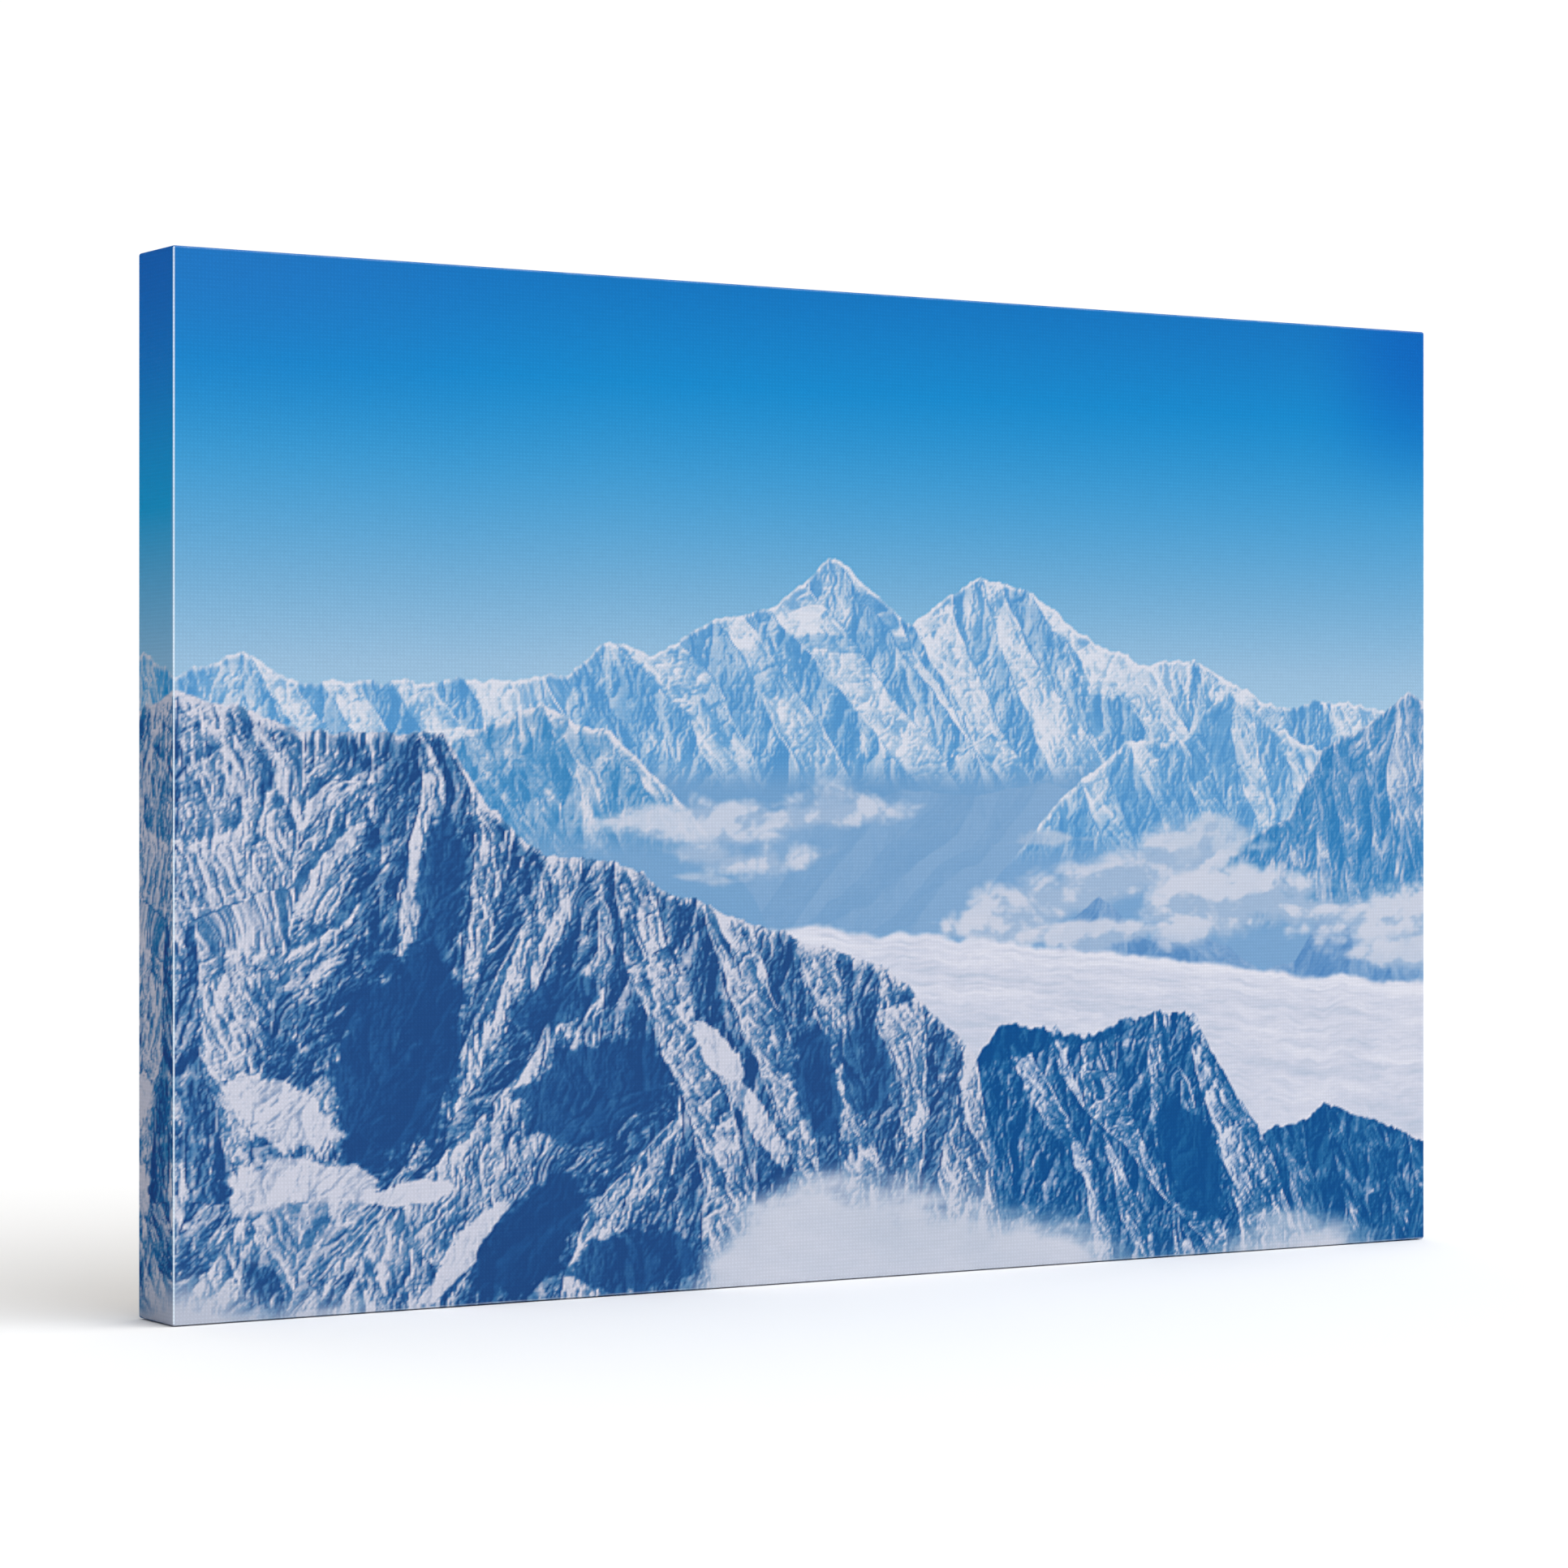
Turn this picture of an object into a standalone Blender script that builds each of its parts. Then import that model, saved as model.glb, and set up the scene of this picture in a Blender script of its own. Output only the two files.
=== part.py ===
"""A gallery-wrapped stretched canvas, 610 x 406 x 32 mm: one cloth stapled round four keyed stretcher bars.

Metres, +Z up, with the printed face towards -Y. The origin is in the middle of the bottom edge, halfway
between the printed face and the tips of the wall bumpers.
"""

import math

import bmesh
import bpy
from mathutils import Matrix

GAP = 0.0003

# Wrapped canvas
WIDTH = 0.6096
HEIGHT = 0.4064
WRAP_DEPTH = 0.03175
CLOTH = 0.0005
FLAP_WIDTH = 0.0195
OUTER_ROUND = 0.0015
INNER_ROUND = 0.0005

# Stretcher bars
BAR_INSET = CLOTH + GAP
BAR_WIDTH = 0.040
BAR_DEPTH = WRAP_DEPTH - 2 * BAR_INSET
LIP_WIDTH = 0.006
LIP_SLOPE_WIDTH = 0.004
LIP_HEIGHT = 0.003
INNER_FALL = 0.0065
EDGE_ROUND = 0.001
TONGUE_DEPTH = 0.006
FIRST_LAYER = 0.009
LAYERS = [FIRST_LAYER + TONGUE_DEPTH * step for step in range(3)]

# Corner keys
KEY_LENGTH = 0.040
KEY_SEAT = 0.022
KEY_TIP = 0.004
KEY_HEAD = 0.014
KEY_NOSE = 0.001

# Staples
CROWN = 0.0115
STAPLE_WIDE = 0.0012
STAPLE_THICK = 0.0006
LEG = 0.0085
LEG_POINT = 0.0012
STAPLE_INSET = 0.011
LONG_ROW = 10
LONG_ROW_MARGIN = 0.027
SHORT_ROW = 7
SHORT_ROW_MARGIN = 0.044
CORNER_INSET = 0.0105

# Ring hangers
STRAP_WIDTH = 0.011
STRAP_THICK = 0.0016
EYE_RADIUS = 0.0022
WIRE_RADIUS = 0.0011
RING_HALF_WIDTH = 0.0081
RING_BEND = 0.0022
RING_SIDE = 0.009
SCREW_REACH = 0.009
EYE_FROM_INNER_EDGE = 0.0025
HANGER_DROP = 0.100

# Screws
SHANK_RADIUS = 0.0015
SHANK_LENGTH = 0.0135
HEAD_RADIUS = 0.0032
HEAD_HEIGHT = 0.0019
RECESS_REACH = 0.0016
RECESS_HALF_WIDTH = 0.00035
RECESS_DEPTH = 0.0011

# Wall bumpers
BUMPER_RADIUS = 0.0055
BUMPER_HEIGHT = 0.004
BUMPER_ROUND = 0.0018
BUMPER_FROM_SIDE = 0.044
BUMPER_FROM_BOTTOM = 0.0095

FRONT_Y = -(WRAP_DEPTH + GAP + BUMPER_HEIGHT) / 2
BAR_FRONT_Y = FRONT_Y + BAR_INSET
BAR_BACK_Y = BAR_FRONT_Y + BAR_DEPTH
CLOTH_BACK_Y = FRONT_Y + WRAP_DEPTH
PAST = 0.002


def clear_scene():
    for thing in list(bpy.data.objects):
        bpy.data.objects.remove(thing, do_unlink=True)


def make_material(name, colour, roughness, metallic):
    material = bpy.data.materials.new(name)
    material.use_nodes = True
    shader = material.node_tree.nodes["Principled BSDF"]
    shader.inputs["Base Color"].default_value = (*colour, 1)
    shader.inputs["Roughness"].default_value = roughness
    shader.inputs["Metallic"].default_value = metallic
    return material


def finish_mesh(shape, name):
    """Ends a bmesh as mesh data, with every face pointing out."""
    bmesh.ops.recalc_face_normals(shape, faces=shape.faces)
    data = bpy.data.meshes.new(name)
    shape.to_mesh(data)
    shape.free()
    return data


def add_object(name, data, material, parent=None):
    thing = bpy.data.objects.new(name, data)
    bpy.context.scene.collection.objects.link(thing)
    thing.parent = parent
    if material:
        data.materials.clear()
        data.materials.append(material)
    return thing


def add_cutter(name, data, parent=None):
    cutter = add_object(name, data, None, parent)
    cutter.hide_render = True
    cutter.display_type = "WIRE"
    return cutter


def combine(body, other, operation="DIFFERENCE"):
    boolean = body.modifiers.new(f"{operation.lower()} {other.name}", "BOOLEAN")
    boolean.operation = operation
    boolean.solver = "EXACT"
    boolean.object = other


def smooth(data, degrees=35):
    data.shade_smooth()
    data.set_sharp_from_angle(angle=math.radians(degrees))


def extrude_outline(shape, points, along):
    """Closes the 3-D points into a face and extrudes it by the vector."""
    face = shape.faces.new([shape.verts.new(point) for point in points])
    grown = bmesh.ops.extrude_face_region(shape, geom=[face])["geom"]
    moved = [item for item in grown if isinstance(item, bmesh.types.BMVert)]
    bmesh.ops.translate(shape, verts=moved, vec=along)


def add_prism(shape, outline, low, high):
    """Adds the outline's (x, z) points, extruded along Y from low to high."""
    extrude_outline(shape, [(x, low, z) for x, z in outline], (0, high - low, 0))


def add_box(shape, low, high):
    made = bmesh.ops.create_cube(shape, size=1)["verts"]
    size = [high[axis] - low[axis] for axis in range(3)]
    middle = [(high[axis] + low[axis]) / 2 for axis in range(3)]
    bmesh.ops.scale(shape, verts=made, vec=size)
    bmesh.ops.translate(shape, verts=made, vec=middle)
    return made


def box_mesh(name, low, high, rounding=0, segments=1):
    shape = bmesh.new()
    add_box(shape, low, high)
    if rounding:
        bmesh.ops.bevel(
            shape,
            geom=list(shape.edges),
            offset=rounding,
            segments=segments,
            profile=0.5,
            affect="EDGES",
        )
    return finish_mesh(shape, name)


def turned_mesh(name, profile, steps):
    """A solid of revolution about Y; the profile's (radius, y) points start and end on the axis."""
    shape = bmesh.new()
    points = [shape.verts.new((radius, along, 0)) for radius, along in profile]
    edges = [shape.edges.new(pair) for pair in zip(points, points[1:])]
    bmesh.ops.spin(
        shape,
        geom=points + edges,
        cent=(0, 0, 0),
        axis=(0, 1, 0),
        angle=2 * math.pi,
        steps=steps,
        use_merge=True,
    )
    bmesh.ops.remove_doubles(shape, verts=shape.verts, dist=1e-6)
    data = finish_mesh(shape, name)
    smooth(data)
    return data


def arc(centre, radius, start, end, steps):
    """Points on an arc, from start to end in degrees."""
    angles = [math.radians(start + (end - start) * step / steps) for step in range(steps + 1)]
    return [(centre[0] + radius * math.cos(a), centre[1] + radius * math.sin(a)) for a in angles]


def make_canvas(cloth_material, staple_holes):
    low = (-WIDTH / 2, FRONT_Y, 0)
    high = (WIDTH / 2, CLOTH_BACK_Y, HEIGHT)
    canvas = add_object("canvas", box_mesh("canvas", low, high, OUTER_ROUND, 3), cloth_material)
    inner_low = [value + CLOTH for value in low]
    inner_high = [value - CLOTH for value in high]
    hollow = add_cutter("canvas_hollow", box_mesh("canvas_hollow", inner_low, inner_high, INNER_ROUND, 2))
    window_low = (low[0] + FLAP_WIDTH, CLOTH_BACK_Y - 2 * CLOTH, low[2] + FLAP_WIDTH)
    window_high = (high[0] - FLAP_WIDTH, CLOTH_BACK_Y + PAST, high[2] - FLAP_WIDTH)
    window = add_cutter("canvas_window", box_mesh("canvas_window", window_low, window_high))
    combine(canvas, hollow)
    combine(canvas, window)
    combine(canvas, staple_holes)


def bar_profile():
    """The bar's section as (inward, depth) points: an outer lip that slopes down to a falling front."""
    back = BAR_DEPTH
    inner_front = (BAR_WIDTH, INNER_FALL)
    points = arc((EDGE_ROUND, EDGE_ROUND), EDGE_ROUND, 180, 270, 3)
    points += [(LIP_WIDTH, 0), (LIP_WIDTH + LIP_SLOPE_WIDTH, LIP_HEIGHT), inner_front]
    points += arc((BAR_WIDTH - EDGE_ROUND, back - EDGE_ROUND), EDGE_ROUND, 0, 90, 3)
    points += arc((EDGE_ROUND, back - EDGE_ROUND), EDGE_ROUND, 90, 180, 3)
    return points


def bar_mesh(name, length):
    """A bar lying along X, with its outer edge at z = 0 and its front at y = 0."""
    shape = bmesh.new()
    end = [(-length / 2, depth, -inward) for inward, depth in bar_profile()]
    extrude_outline(shape, end, (length, 0, 0))
    return finish_mesh(shape, name)


def mirrored(outline):
    return [(-x, z) for x, z in reversed(outline)]


def two_ended_mesh(name, outline, low, high):
    """The same cut at both ends of a bar."""
    shape = bmesh.new()
    add_prism(shape, outline, low, high)
    add_prism(shape, mirrored(outline), low, high)
    return finish_mesh(shape, name)


def mitre_outline(length):
    """What lies beyond the 45 degree mitre, half a gap back from it."""
    back = GAP / 2 * math.sqrt(2)
    end = length / 2 + PAST
    foot = -BAR_WIDTH - PAST
    return [(end - back, PAST), (length / 2 + foot - back, foot), (end, foot), (end, PAST)]


def slot_outline(length):
    """The slot that takes the other bar's tongue, with the tapered pocket for the key beside it."""
    shoulder = length / 2 - BAR_WIDTH - GAP
    end = length / 2 + PAST
    tip = -BAR_WIDTH + KEY_SEAT + GAP
    foot = -BAR_WIDTH - PAST
    taper = (KEY_HEAD - KEY_TIP) / KEY_LENGTH
    clearance = GAP * math.sqrt(1 + taper * taper)
    pocket_tip = (shoulder - key_width(-GAP) - clearance, tip)
    pocket_mouth = (shoulder - key_width(KEY_SEAT + PAST) - clearance, foot)
    return [(end, PAST), (shoulder, PAST), (shoulder, tip), pocket_tip, pocket_mouth, (end, foot)]


def key_width(from_tip):
    return KEY_TIP + (KEY_HEAD - KEY_TIP) * from_tip / KEY_LENGTH


def make_bar(name, length, side, tongue_layer, wood_material, staple_holes):
    """One stretcher bar. Its tongues are in one of the two middle layers and its slots in the other."""
    turn, place = side
    bar = add_object(name, bar_mesh(name, length), wood_material)
    bar.location = place
    bar.rotation_euler = (0, math.radians(turn), 0)
    first, middle, last = LAYERS
    half = GAP / 2
    if tongue_layer == 0:
        slot = (middle - half, last + half)
        mitres = ((-PAST, first + half), (middle + TONGUE_DEPTH / 2, BAR_DEPTH + PAST))
    else:
        slot = (first - half, middle + half)
        mitres = ((-PAST, first + TONGUE_DEPTH / 2), (last - half, BAR_DEPTH + PAST))
    cuts = [("slots", slot_outline(length), slot)]
    cuts += [(f"mitres_{index}", mitre_outline(length), layer) for index, layer in enumerate(mitres)]
    for label, outline, (low, high) in cuts:
        data = two_ended_mesh(f"{name}_{label}", outline, low, high)
        combine(bar, add_cutter(data.name, data, bar))
    combine(bar, staple_holes)
    return bar


def key_mesh():
    """A wedge with its tip at the origin, pointing +Z; its straight edge is at x = 0, its slope at -x."""
    shape = bmesh.new()
    half = (TONGUE_DEPTH - GAP) / 2
    outline = [
        (-KEY_NOSE, 0),
        (0, -KEY_NOSE),
        (0, KEY_NOSE - KEY_LENGTH),
        (-KEY_NOSE, -KEY_LENGTH),
        (KEY_NOSE - KEY_HEAD, -KEY_LENGTH),
        (-key_width(KEY_LENGTH - KEY_NOSE), KEY_NOSE - KEY_LENGTH),
        (-key_width(KEY_NOSE), -KEY_NOSE),
        (KEY_NOSE - KEY_TIP, 0),
    ]
    add_prism(shape, outline, -half, half)
    return finish_mesh(shape, "key")


def make_keys(key_material):
    """Two wedges at each inner corner, one along each bar, in the two middle layers of the joint."""
    upright_key = key_mesh()
    flipped_key = upright_key.copy()
    flipped_key.transform(Matrix.Scale(-1, 4, (1, 0, 0)))
    flipped_key.flip_normals()
    upright_y = BAR_FRONT_Y + LAYERS[0] + TONGUE_DEPTH / 2
    level_y = upright_y + TONGUE_DEPTH
    edge = BAR_INSET + BAR_WIDTH
    for across, x_side in ((-1, "left"), (1, "right")):
        for up, z_side in ((-1, "bottom"), (1, "top")):
            inner_x = across * (WIDTH / 2 - edge)
            inner_z = HEIGHT / 2 + up * (HEIGHT / 2 - edge)
            same_hand = across * up > 0
            upright = add_object(
                f"key_{z_side}_{x_side}_upright", upright_key if same_hand else flipped_key, key_material
            )
            upright.location = (inner_x - across * GAP, upright_y, inner_z + up * KEY_SEAT)
            upright.rotation_euler = (0, 0 if up > 0 else math.pi, 0)
            level = add_object(
                f"key_{z_side}_{x_side}_level", flipped_key if same_hand else upright_key, key_material
            )
            level.location = (inner_x + across * KEY_SEAT, level_y, inner_z - up * GAP)
            level.rotation_euler = (0, across * math.pi / 2, 0)


def spaced_row(count, length, margin):
    return [margin + (length - 2 * margin) * index / (count - 1) for index in range(count)]


def staple_places():
    """(name, x, z, turn about Y in degrees) of every staple on the back flaps."""
    places = []
    for index, along in enumerate(spaced_row(LONG_ROW, WIDTH, LONG_ROW_MARGIN)):
        places.append((f"staple_bottom_{index + 1:02d}", along - WIDTH / 2, STAPLE_INSET, 0))
        places.append((f"staple_top_{index + 1:02d}", along - WIDTH / 2, HEIGHT - STAPLE_INSET, 0))
    for index, along in enumerate(spaced_row(SHORT_ROW, HEIGHT, SHORT_ROW_MARGIN)):
        places.append((f"staple_left_{index + 1:02d}", STAPLE_INSET - WIDTH / 2, along, 90))
        places.append((f"staple_right_{index + 1:02d}", WIDTH / 2 - STAPLE_INSET, along, 90))
    for across, x_side in ((-1, "left"), (1, "right")):
        for up, z_side in ((-1, "bottom"), (1, "top")):
            x = across * (WIDTH / 2 - CORNER_INSET)
            z = HEIGHT / 2 + up * (HEIGHT / 2 - CORNER_INSET)
            places.append((f"staple_{z_side}_{x_side}_corner", x, z, 45 * across * up))
    return places


def staple_mesh():
    """A flat-wire staple with its crown along X just above y = 0 and its legs pointing -Y."""
    shape = bmesh.new()
    half = CROWN / 2
    inner = half - STAPLE_THICK
    outline = [
        (half, -LEG),
        (half, STAPLE_THICK / 2),
        (half - STAPLE_THICK / 2, STAPLE_THICK),
        (STAPLE_THICK / 2 - half, STAPLE_THICK),
        (-half, STAPLE_THICK / 2),
        (-half, -LEG),
        (-inner, LEG_POINT - LEG),
        (-inner, 0),
        (inner, 0),
        (inner, LEG_POINT - LEG),
    ]
    extrude_outline(shape, [(x, y, -STAPLE_WIDE / 2) for x, y in outline], (0, 0, STAPLE_WIDE))
    return finish_mesh(shape, "staple")


def staple_turn(x, z, turn):
    place = Matrix.Translation((x, CLOTH_BACK_Y + GAP, z))
    return place @ Matrix.Rotation(math.radians(turn), 4, "Y")


def make_staples(steel_material):
    data = staple_mesh()
    for name, x, z, turn in staple_places():
        add_object(name, data, steel_material).matrix_world = staple_turn(x, z, turn)


def staple_hole_cutter():
    """The slits that the legs sit in, through the flap and into the bars."""
    shape = bmesh.new()
    leg_middle = (CROWN - STAPLE_THICK) / 2
    half_long = STAPLE_THICK / 2 + GAP
    half_wide = STAPLE_WIDE / 2 + GAP
    for _, x, z, turn in staple_places():
        for side in (-1, 1):
            low = (side * leg_middle - half_long, -LEG - GAP, -half_wide)
            high = (side * leg_middle + half_long, PAST, half_wide)
            made = add_box(shape, low, high)
            bmesh.ops.transform(shape, matrix=staple_turn(x, z, turn), verts=made)
    return add_cutter("staple_slits", finish_mesh(shape, "staple_slits"))


def cylinder_cutter(name, radius, low, high, axis, parent):
    """A round cutter along Y or Z, through the parent's origin."""
    shape = bmesh.new()
    made = bmesh.ops.create_cone(
        shape, cap_ends=True, segments=20, radius1=radius, radius2=radius, depth=high - low
    )["verts"]
    bmesh.ops.translate(shape, verts=made, vec=(0, 0, (low + high) / 2))
    if axis == "Y":
        bmesh.ops.rotate(shape, verts=made, cent=(0, 0, 0), matrix=Matrix.Rotation(-math.pi / 2, 3, "X"))
    return add_cutter(name, finish_mesh(shape, name), parent)


def strap_mesh(name, across):
    """The folded strap's flat part, from inside the eye to its round end; y = 0 is its underside."""
    shape = bmesh.new()
    half = STRAP_WIDTH / 2
    start = EYE_RADIUS / 4
    outline = [(start, half), *arc((SCREW_REACH, 0), half, 90, -90, 10), (start, -half)]
    add_prism(shape, [(-across * x, z) for x, z in outline], 0, STRAP_THICK)
    return finish_mesh(shape, name)


def eye_mesh(name):
    shape = bmesh.new()
    made = bmesh.ops.create_cone(
        shape, cap_ends=True, segments=24, radius1=EYE_RADIUS, radius2=EYE_RADIUS, depth=STRAP_WIDTH
    )["verts"]
    bmesh.ops.translate(shape, verts=made, vec=(0, EYE_RADIUS, 0))
    return finish_mesh(shape, name)


def ring_curve(name, across):
    """A D of round wire: a straight bar on the hinge axis, two sides and a half circle."""
    half = RING_HALF_WIDTH
    bend = RING_BEND
    points = arc((bend, half - bend), bend, 180, 90, 4)
    points += arc((RING_SIDE, 0), half, 90, -90, 14)
    points += arc((bend, bend - half), bend, -90, -180, 4)
    curve = bpy.data.curves.new(name, "CURVE")
    curve.dimensions = "3D"
    curve.bevel_depth = WIRE_RADIUS
    curve.bevel_resolution = 2
    spline = curve.splines.new("POLY")
    spline.points.add(len(points) - 1)
    for point, (x, z) in zip(spline.points, points):
        point.co = (across * x, 0, z, 1)
    spline.use_cyclic_u = True
    return curve


def screw_mesh():
    """A pan-head screw with its seat at y = 0 and its point towards -Y."""
    tip = -SHANK_LENGTH
    profile = [
        (0, tip),
        (SHANK_RADIUS, tip + 2 * SHANK_RADIUS),
        (SHANK_RADIUS, 0),
        (HEAD_RADIUS, 0),
        (HEAD_RADIUS, HEAD_HEIGHT * 0.45),
        (HEAD_RADIUS * 0.86, HEAD_HEIGHT * 0.8),
        (HEAD_RADIUS * 0.55, HEAD_HEIGHT),
        (0, HEAD_HEIGHT),
    ]
    return turned_mesh("screw", profile, 20)


def cross_recess_mesh():
    reach = RECESS_REACH
    half = RECESS_HALF_WIDTH
    arm = [(reach, half), (half, half), (half, reach)]
    outline = []
    for _ in range(4):
        outline += arm
        arm = [(-z, x) for x, z in arm]
    shape = bmesh.new()
    add_prism(shape, outline, HEAD_HEIGHT - RECESS_DEPTH, HEAD_HEIGHT + PAST)
    return finish_mesh(shape, "cross_recess")


def make_hanger(side_name, across, bar, steel_material, nickel_material):
    """A ring hanger on the bare wood of one side bar, with its ring pointing inward."""
    eye_x = -across * (WIDTH / 2 - BAR_INSET - BAR_WIDTH + EYE_FROM_INNER_EDGE)
    height = HEIGHT - HANGER_DROP
    strap = add_object(f"hanger_strap_{side_name}", strap_mesh("strap", across), nickel_material)
    strap.location = (eye_x, BAR_BACK_Y + GAP, height)
    eye = add_cutter(f"eye_{side_name}", eye_mesh("eye"), strap)
    combine(strap, eye, "UNION")
    wire_hole = cylinder_cutter(
        f"wire_hole_{side_name}", WIRE_RADIUS + GAP, -STRAP_WIDTH, STRAP_WIDTH, "Z", strap
    )
    wire_hole.location = (0, EYE_RADIUS, 0)
    combine(strap, wire_hole)
    screw_x = -across * SCREW_REACH
    screw_hole = cylinder_cutter(
        f"screw_hole_{side_name}", SHANK_RADIUS + GAP, -SHANK_LENGTH - GAP, SHANK_LENGTH, "Y", strap
    )
    screw_hole.location = (screw_x, STRAP_THICK + GAP, 0)
    combine(strap, screw_hole)
    combine(bar, screw_hole)

    hinge = bpy.data.objects.new(f"ring_hinge_{side_name}", None)
    bpy.context.scene.collection.objects.link(hinge)
    hinge.location = (eye_x, BAR_BACK_Y + GAP + EYE_RADIUS, height)
    ring_name = f"hanger_ring_{side_name}"
    add_object(ring_name, ring_curve(ring_name, across), steel_material, hinge)

    screw = add_object(f"hanger_screw_{side_name}", screw_mesh(), nickel_material)
    screw.location = (eye_x + screw_x, BAR_BACK_Y + 2 * GAP + STRAP_THICK, height)
    recess = add_cutter(f"cross_recess_{side_name}", cross_recess_mesh(), screw)
    combine(screw, recess)


def make_bumpers(rubber_material):
    """Two domed pads behind the bottom corners; their tips are the deepest point of the object."""
    centre = (BUMPER_RADIUS - BUMPER_ROUND, BUMPER_HEIGHT - BUMPER_ROUND)
    profile = [(0, 0), (BUMPER_RADIUS, 0), *arc(centre, BUMPER_ROUND, 0, 90, 4), (0, BUMPER_HEIGHT)]
    data = turned_mesh("bumper", profile, 24)
    for across, side_name in ((-1, "left"), (1, "right")):
        bumper = add_object(f"bumper_{side_name}", data, rubber_material)
        bumper.location = (across * (WIDTH / 2 - BUMPER_FROM_SIDE), CLOTH_BACK_Y + GAP, BUMPER_FROM_BOTTOM)


def main():
    clear_scene()
    cloth = make_material("printed_canvas", (0.30, 0.52, 0.75), 0.75, 0)
    pine = make_material("pine", (0.78, 0.60, 0.38), 0.6, 0)
    birch = make_material("birch", (0.86, 0.74, 0.55), 0.55, 0)
    steel = make_material("zinc_steel", (0.62, 0.63, 0.65), 0.35, 1)
    nickel = make_material("nickel_plate", (0.72, 0.70, 0.66), 0.25, 1)
    rubber = make_material("rubber", (0.03, 0.03, 0.03), 0.8, 0)

    slits = staple_hole_cutter()
    make_canvas(cloth, slits)
    across = WIDTH - 2 * BAR_INSET
    upright = HEIGHT - 2 * BAR_INSET
    middle = HEIGHT / 2
    top = (0, (0, BAR_FRONT_Y, HEIGHT - BAR_INSET))
    bottom = (180, (0, BAR_FRONT_Y, BAR_INSET))
    left = (-90, (BAR_INSET - WIDTH / 2, BAR_FRONT_Y, middle))
    right = (90, (WIDTH / 2 - BAR_INSET, BAR_FRONT_Y, middle))
    make_bar("stretcher_bar_top", across, top, 1, pine, slits)
    make_bar("stretcher_bar_bottom", across, bottom, 1, pine, slits)
    left_bar = make_bar("stretcher_bar_left", upright, left, 0, pine, slits)
    right_bar = make_bar("stretcher_bar_right", upright, right, 0, pine, slits)
    make_keys(birch)
    make_staples(steel)
    make_hanger("left", 1, left_bar, steel, nickel)
    make_hanger("right", -1, right_bar, steel, nickel)
    make_bumpers(rubber)


main()
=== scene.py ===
"""Looks of the stretched canvas: wrapped cloth with its folds and flaps, wood, staples and hangers."""

import math

import bpy
import numpy as np
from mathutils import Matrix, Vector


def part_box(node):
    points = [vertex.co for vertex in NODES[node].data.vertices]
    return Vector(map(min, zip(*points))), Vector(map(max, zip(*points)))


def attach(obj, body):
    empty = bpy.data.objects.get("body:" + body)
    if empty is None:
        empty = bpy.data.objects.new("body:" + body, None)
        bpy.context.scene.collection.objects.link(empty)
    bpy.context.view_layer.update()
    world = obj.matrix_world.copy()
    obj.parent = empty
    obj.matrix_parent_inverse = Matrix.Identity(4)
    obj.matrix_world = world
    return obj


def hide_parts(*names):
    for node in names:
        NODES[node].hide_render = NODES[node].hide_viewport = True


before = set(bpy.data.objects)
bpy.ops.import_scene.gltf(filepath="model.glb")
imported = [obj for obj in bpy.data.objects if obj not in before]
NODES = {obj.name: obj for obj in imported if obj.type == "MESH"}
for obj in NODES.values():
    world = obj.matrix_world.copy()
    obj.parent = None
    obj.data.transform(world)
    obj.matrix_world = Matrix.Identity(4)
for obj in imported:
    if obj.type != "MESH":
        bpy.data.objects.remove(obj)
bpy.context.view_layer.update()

# ---------------- the print: a procedural snowy range


F = np.float32
# The picture's width over its height.
ASPECT = 1.5
# The noise repeats after this many units. It is a power of two, so that a mask wraps it.
LATTICE = 256
LAST = LATTICE - 1
# Spurs are carried on this far at each end, so that the fields beside them have no visible end.
ABOVE_CREST, BEYOND_END = 0.03, 0.6
# Further than anything in the picture, and the gap between two spurs' places in the noise.
FAR_OFF, SPUR_SHIFT = 9, 3.7
gradients = {}


def gradient_tables(seed):
    """A unit vector for each point of the lattice: its parts across and up."""
    if seed not in gradients:
        angle = np.random.default_rng(seed).random(LATTICE * LATTICE) * 2 * np.pi
        gradients[seed] = np.cos(angle).astype(F), np.sin(angle).astype(F)
    return gradients[seed]


def noise(x, y, seed):
    """Gradient noise from about -1 to 1, one feature to each unit of x and y."""
    across, up = gradient_tables(seed)
    x, y = np.broadcast_arrays(np.asarray(x, F), np.asarray(y, F))
    x0, y0 = np.floor(x), np.floor(y)
    fx, fy = x - x0, y - y0
    column = x0.astype(np.int32) & LAST
    row = (y0.astype(np.int32) & LAST) * LATTICE
    next_column = (column + 1) & LAST
    next_row = (row + LATTICE) & (LATTICE * LATTICE - 1)
    sx, sy = fx * fx * (3 - 2 * fx), fy * fy * (3 - 2 * fy)

    def corner(place, dx, dy):
        return across[place] * dx + up[place] * dy

    low = corner(row + column, fx, fy)
    low += (corner(row + next_column, fx - 1, fy) - low) * sx
    high = corner(next_row + column, fx, fy - 1)
    high += (corner(next_row + next_column, fx - 1, fy - 1) - high) * sx
    return (low + (high - low) * sy) * F(1.41)


def fractal(x, y, octaves, seed, gain=0.5):
    """Noise with finer and fainter noise added to it, from about -1 to 1."""
    total, size, whole = 0, 1.0, 0.0
    for octave in range(octaves):
        scale = F(2**octave)
        total = total + F(size) * noise(x * scale + F(17.3 * octave), y * scale, seed + octave)
        whole += size
        size *= gain
    return total / F(whole)


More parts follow.
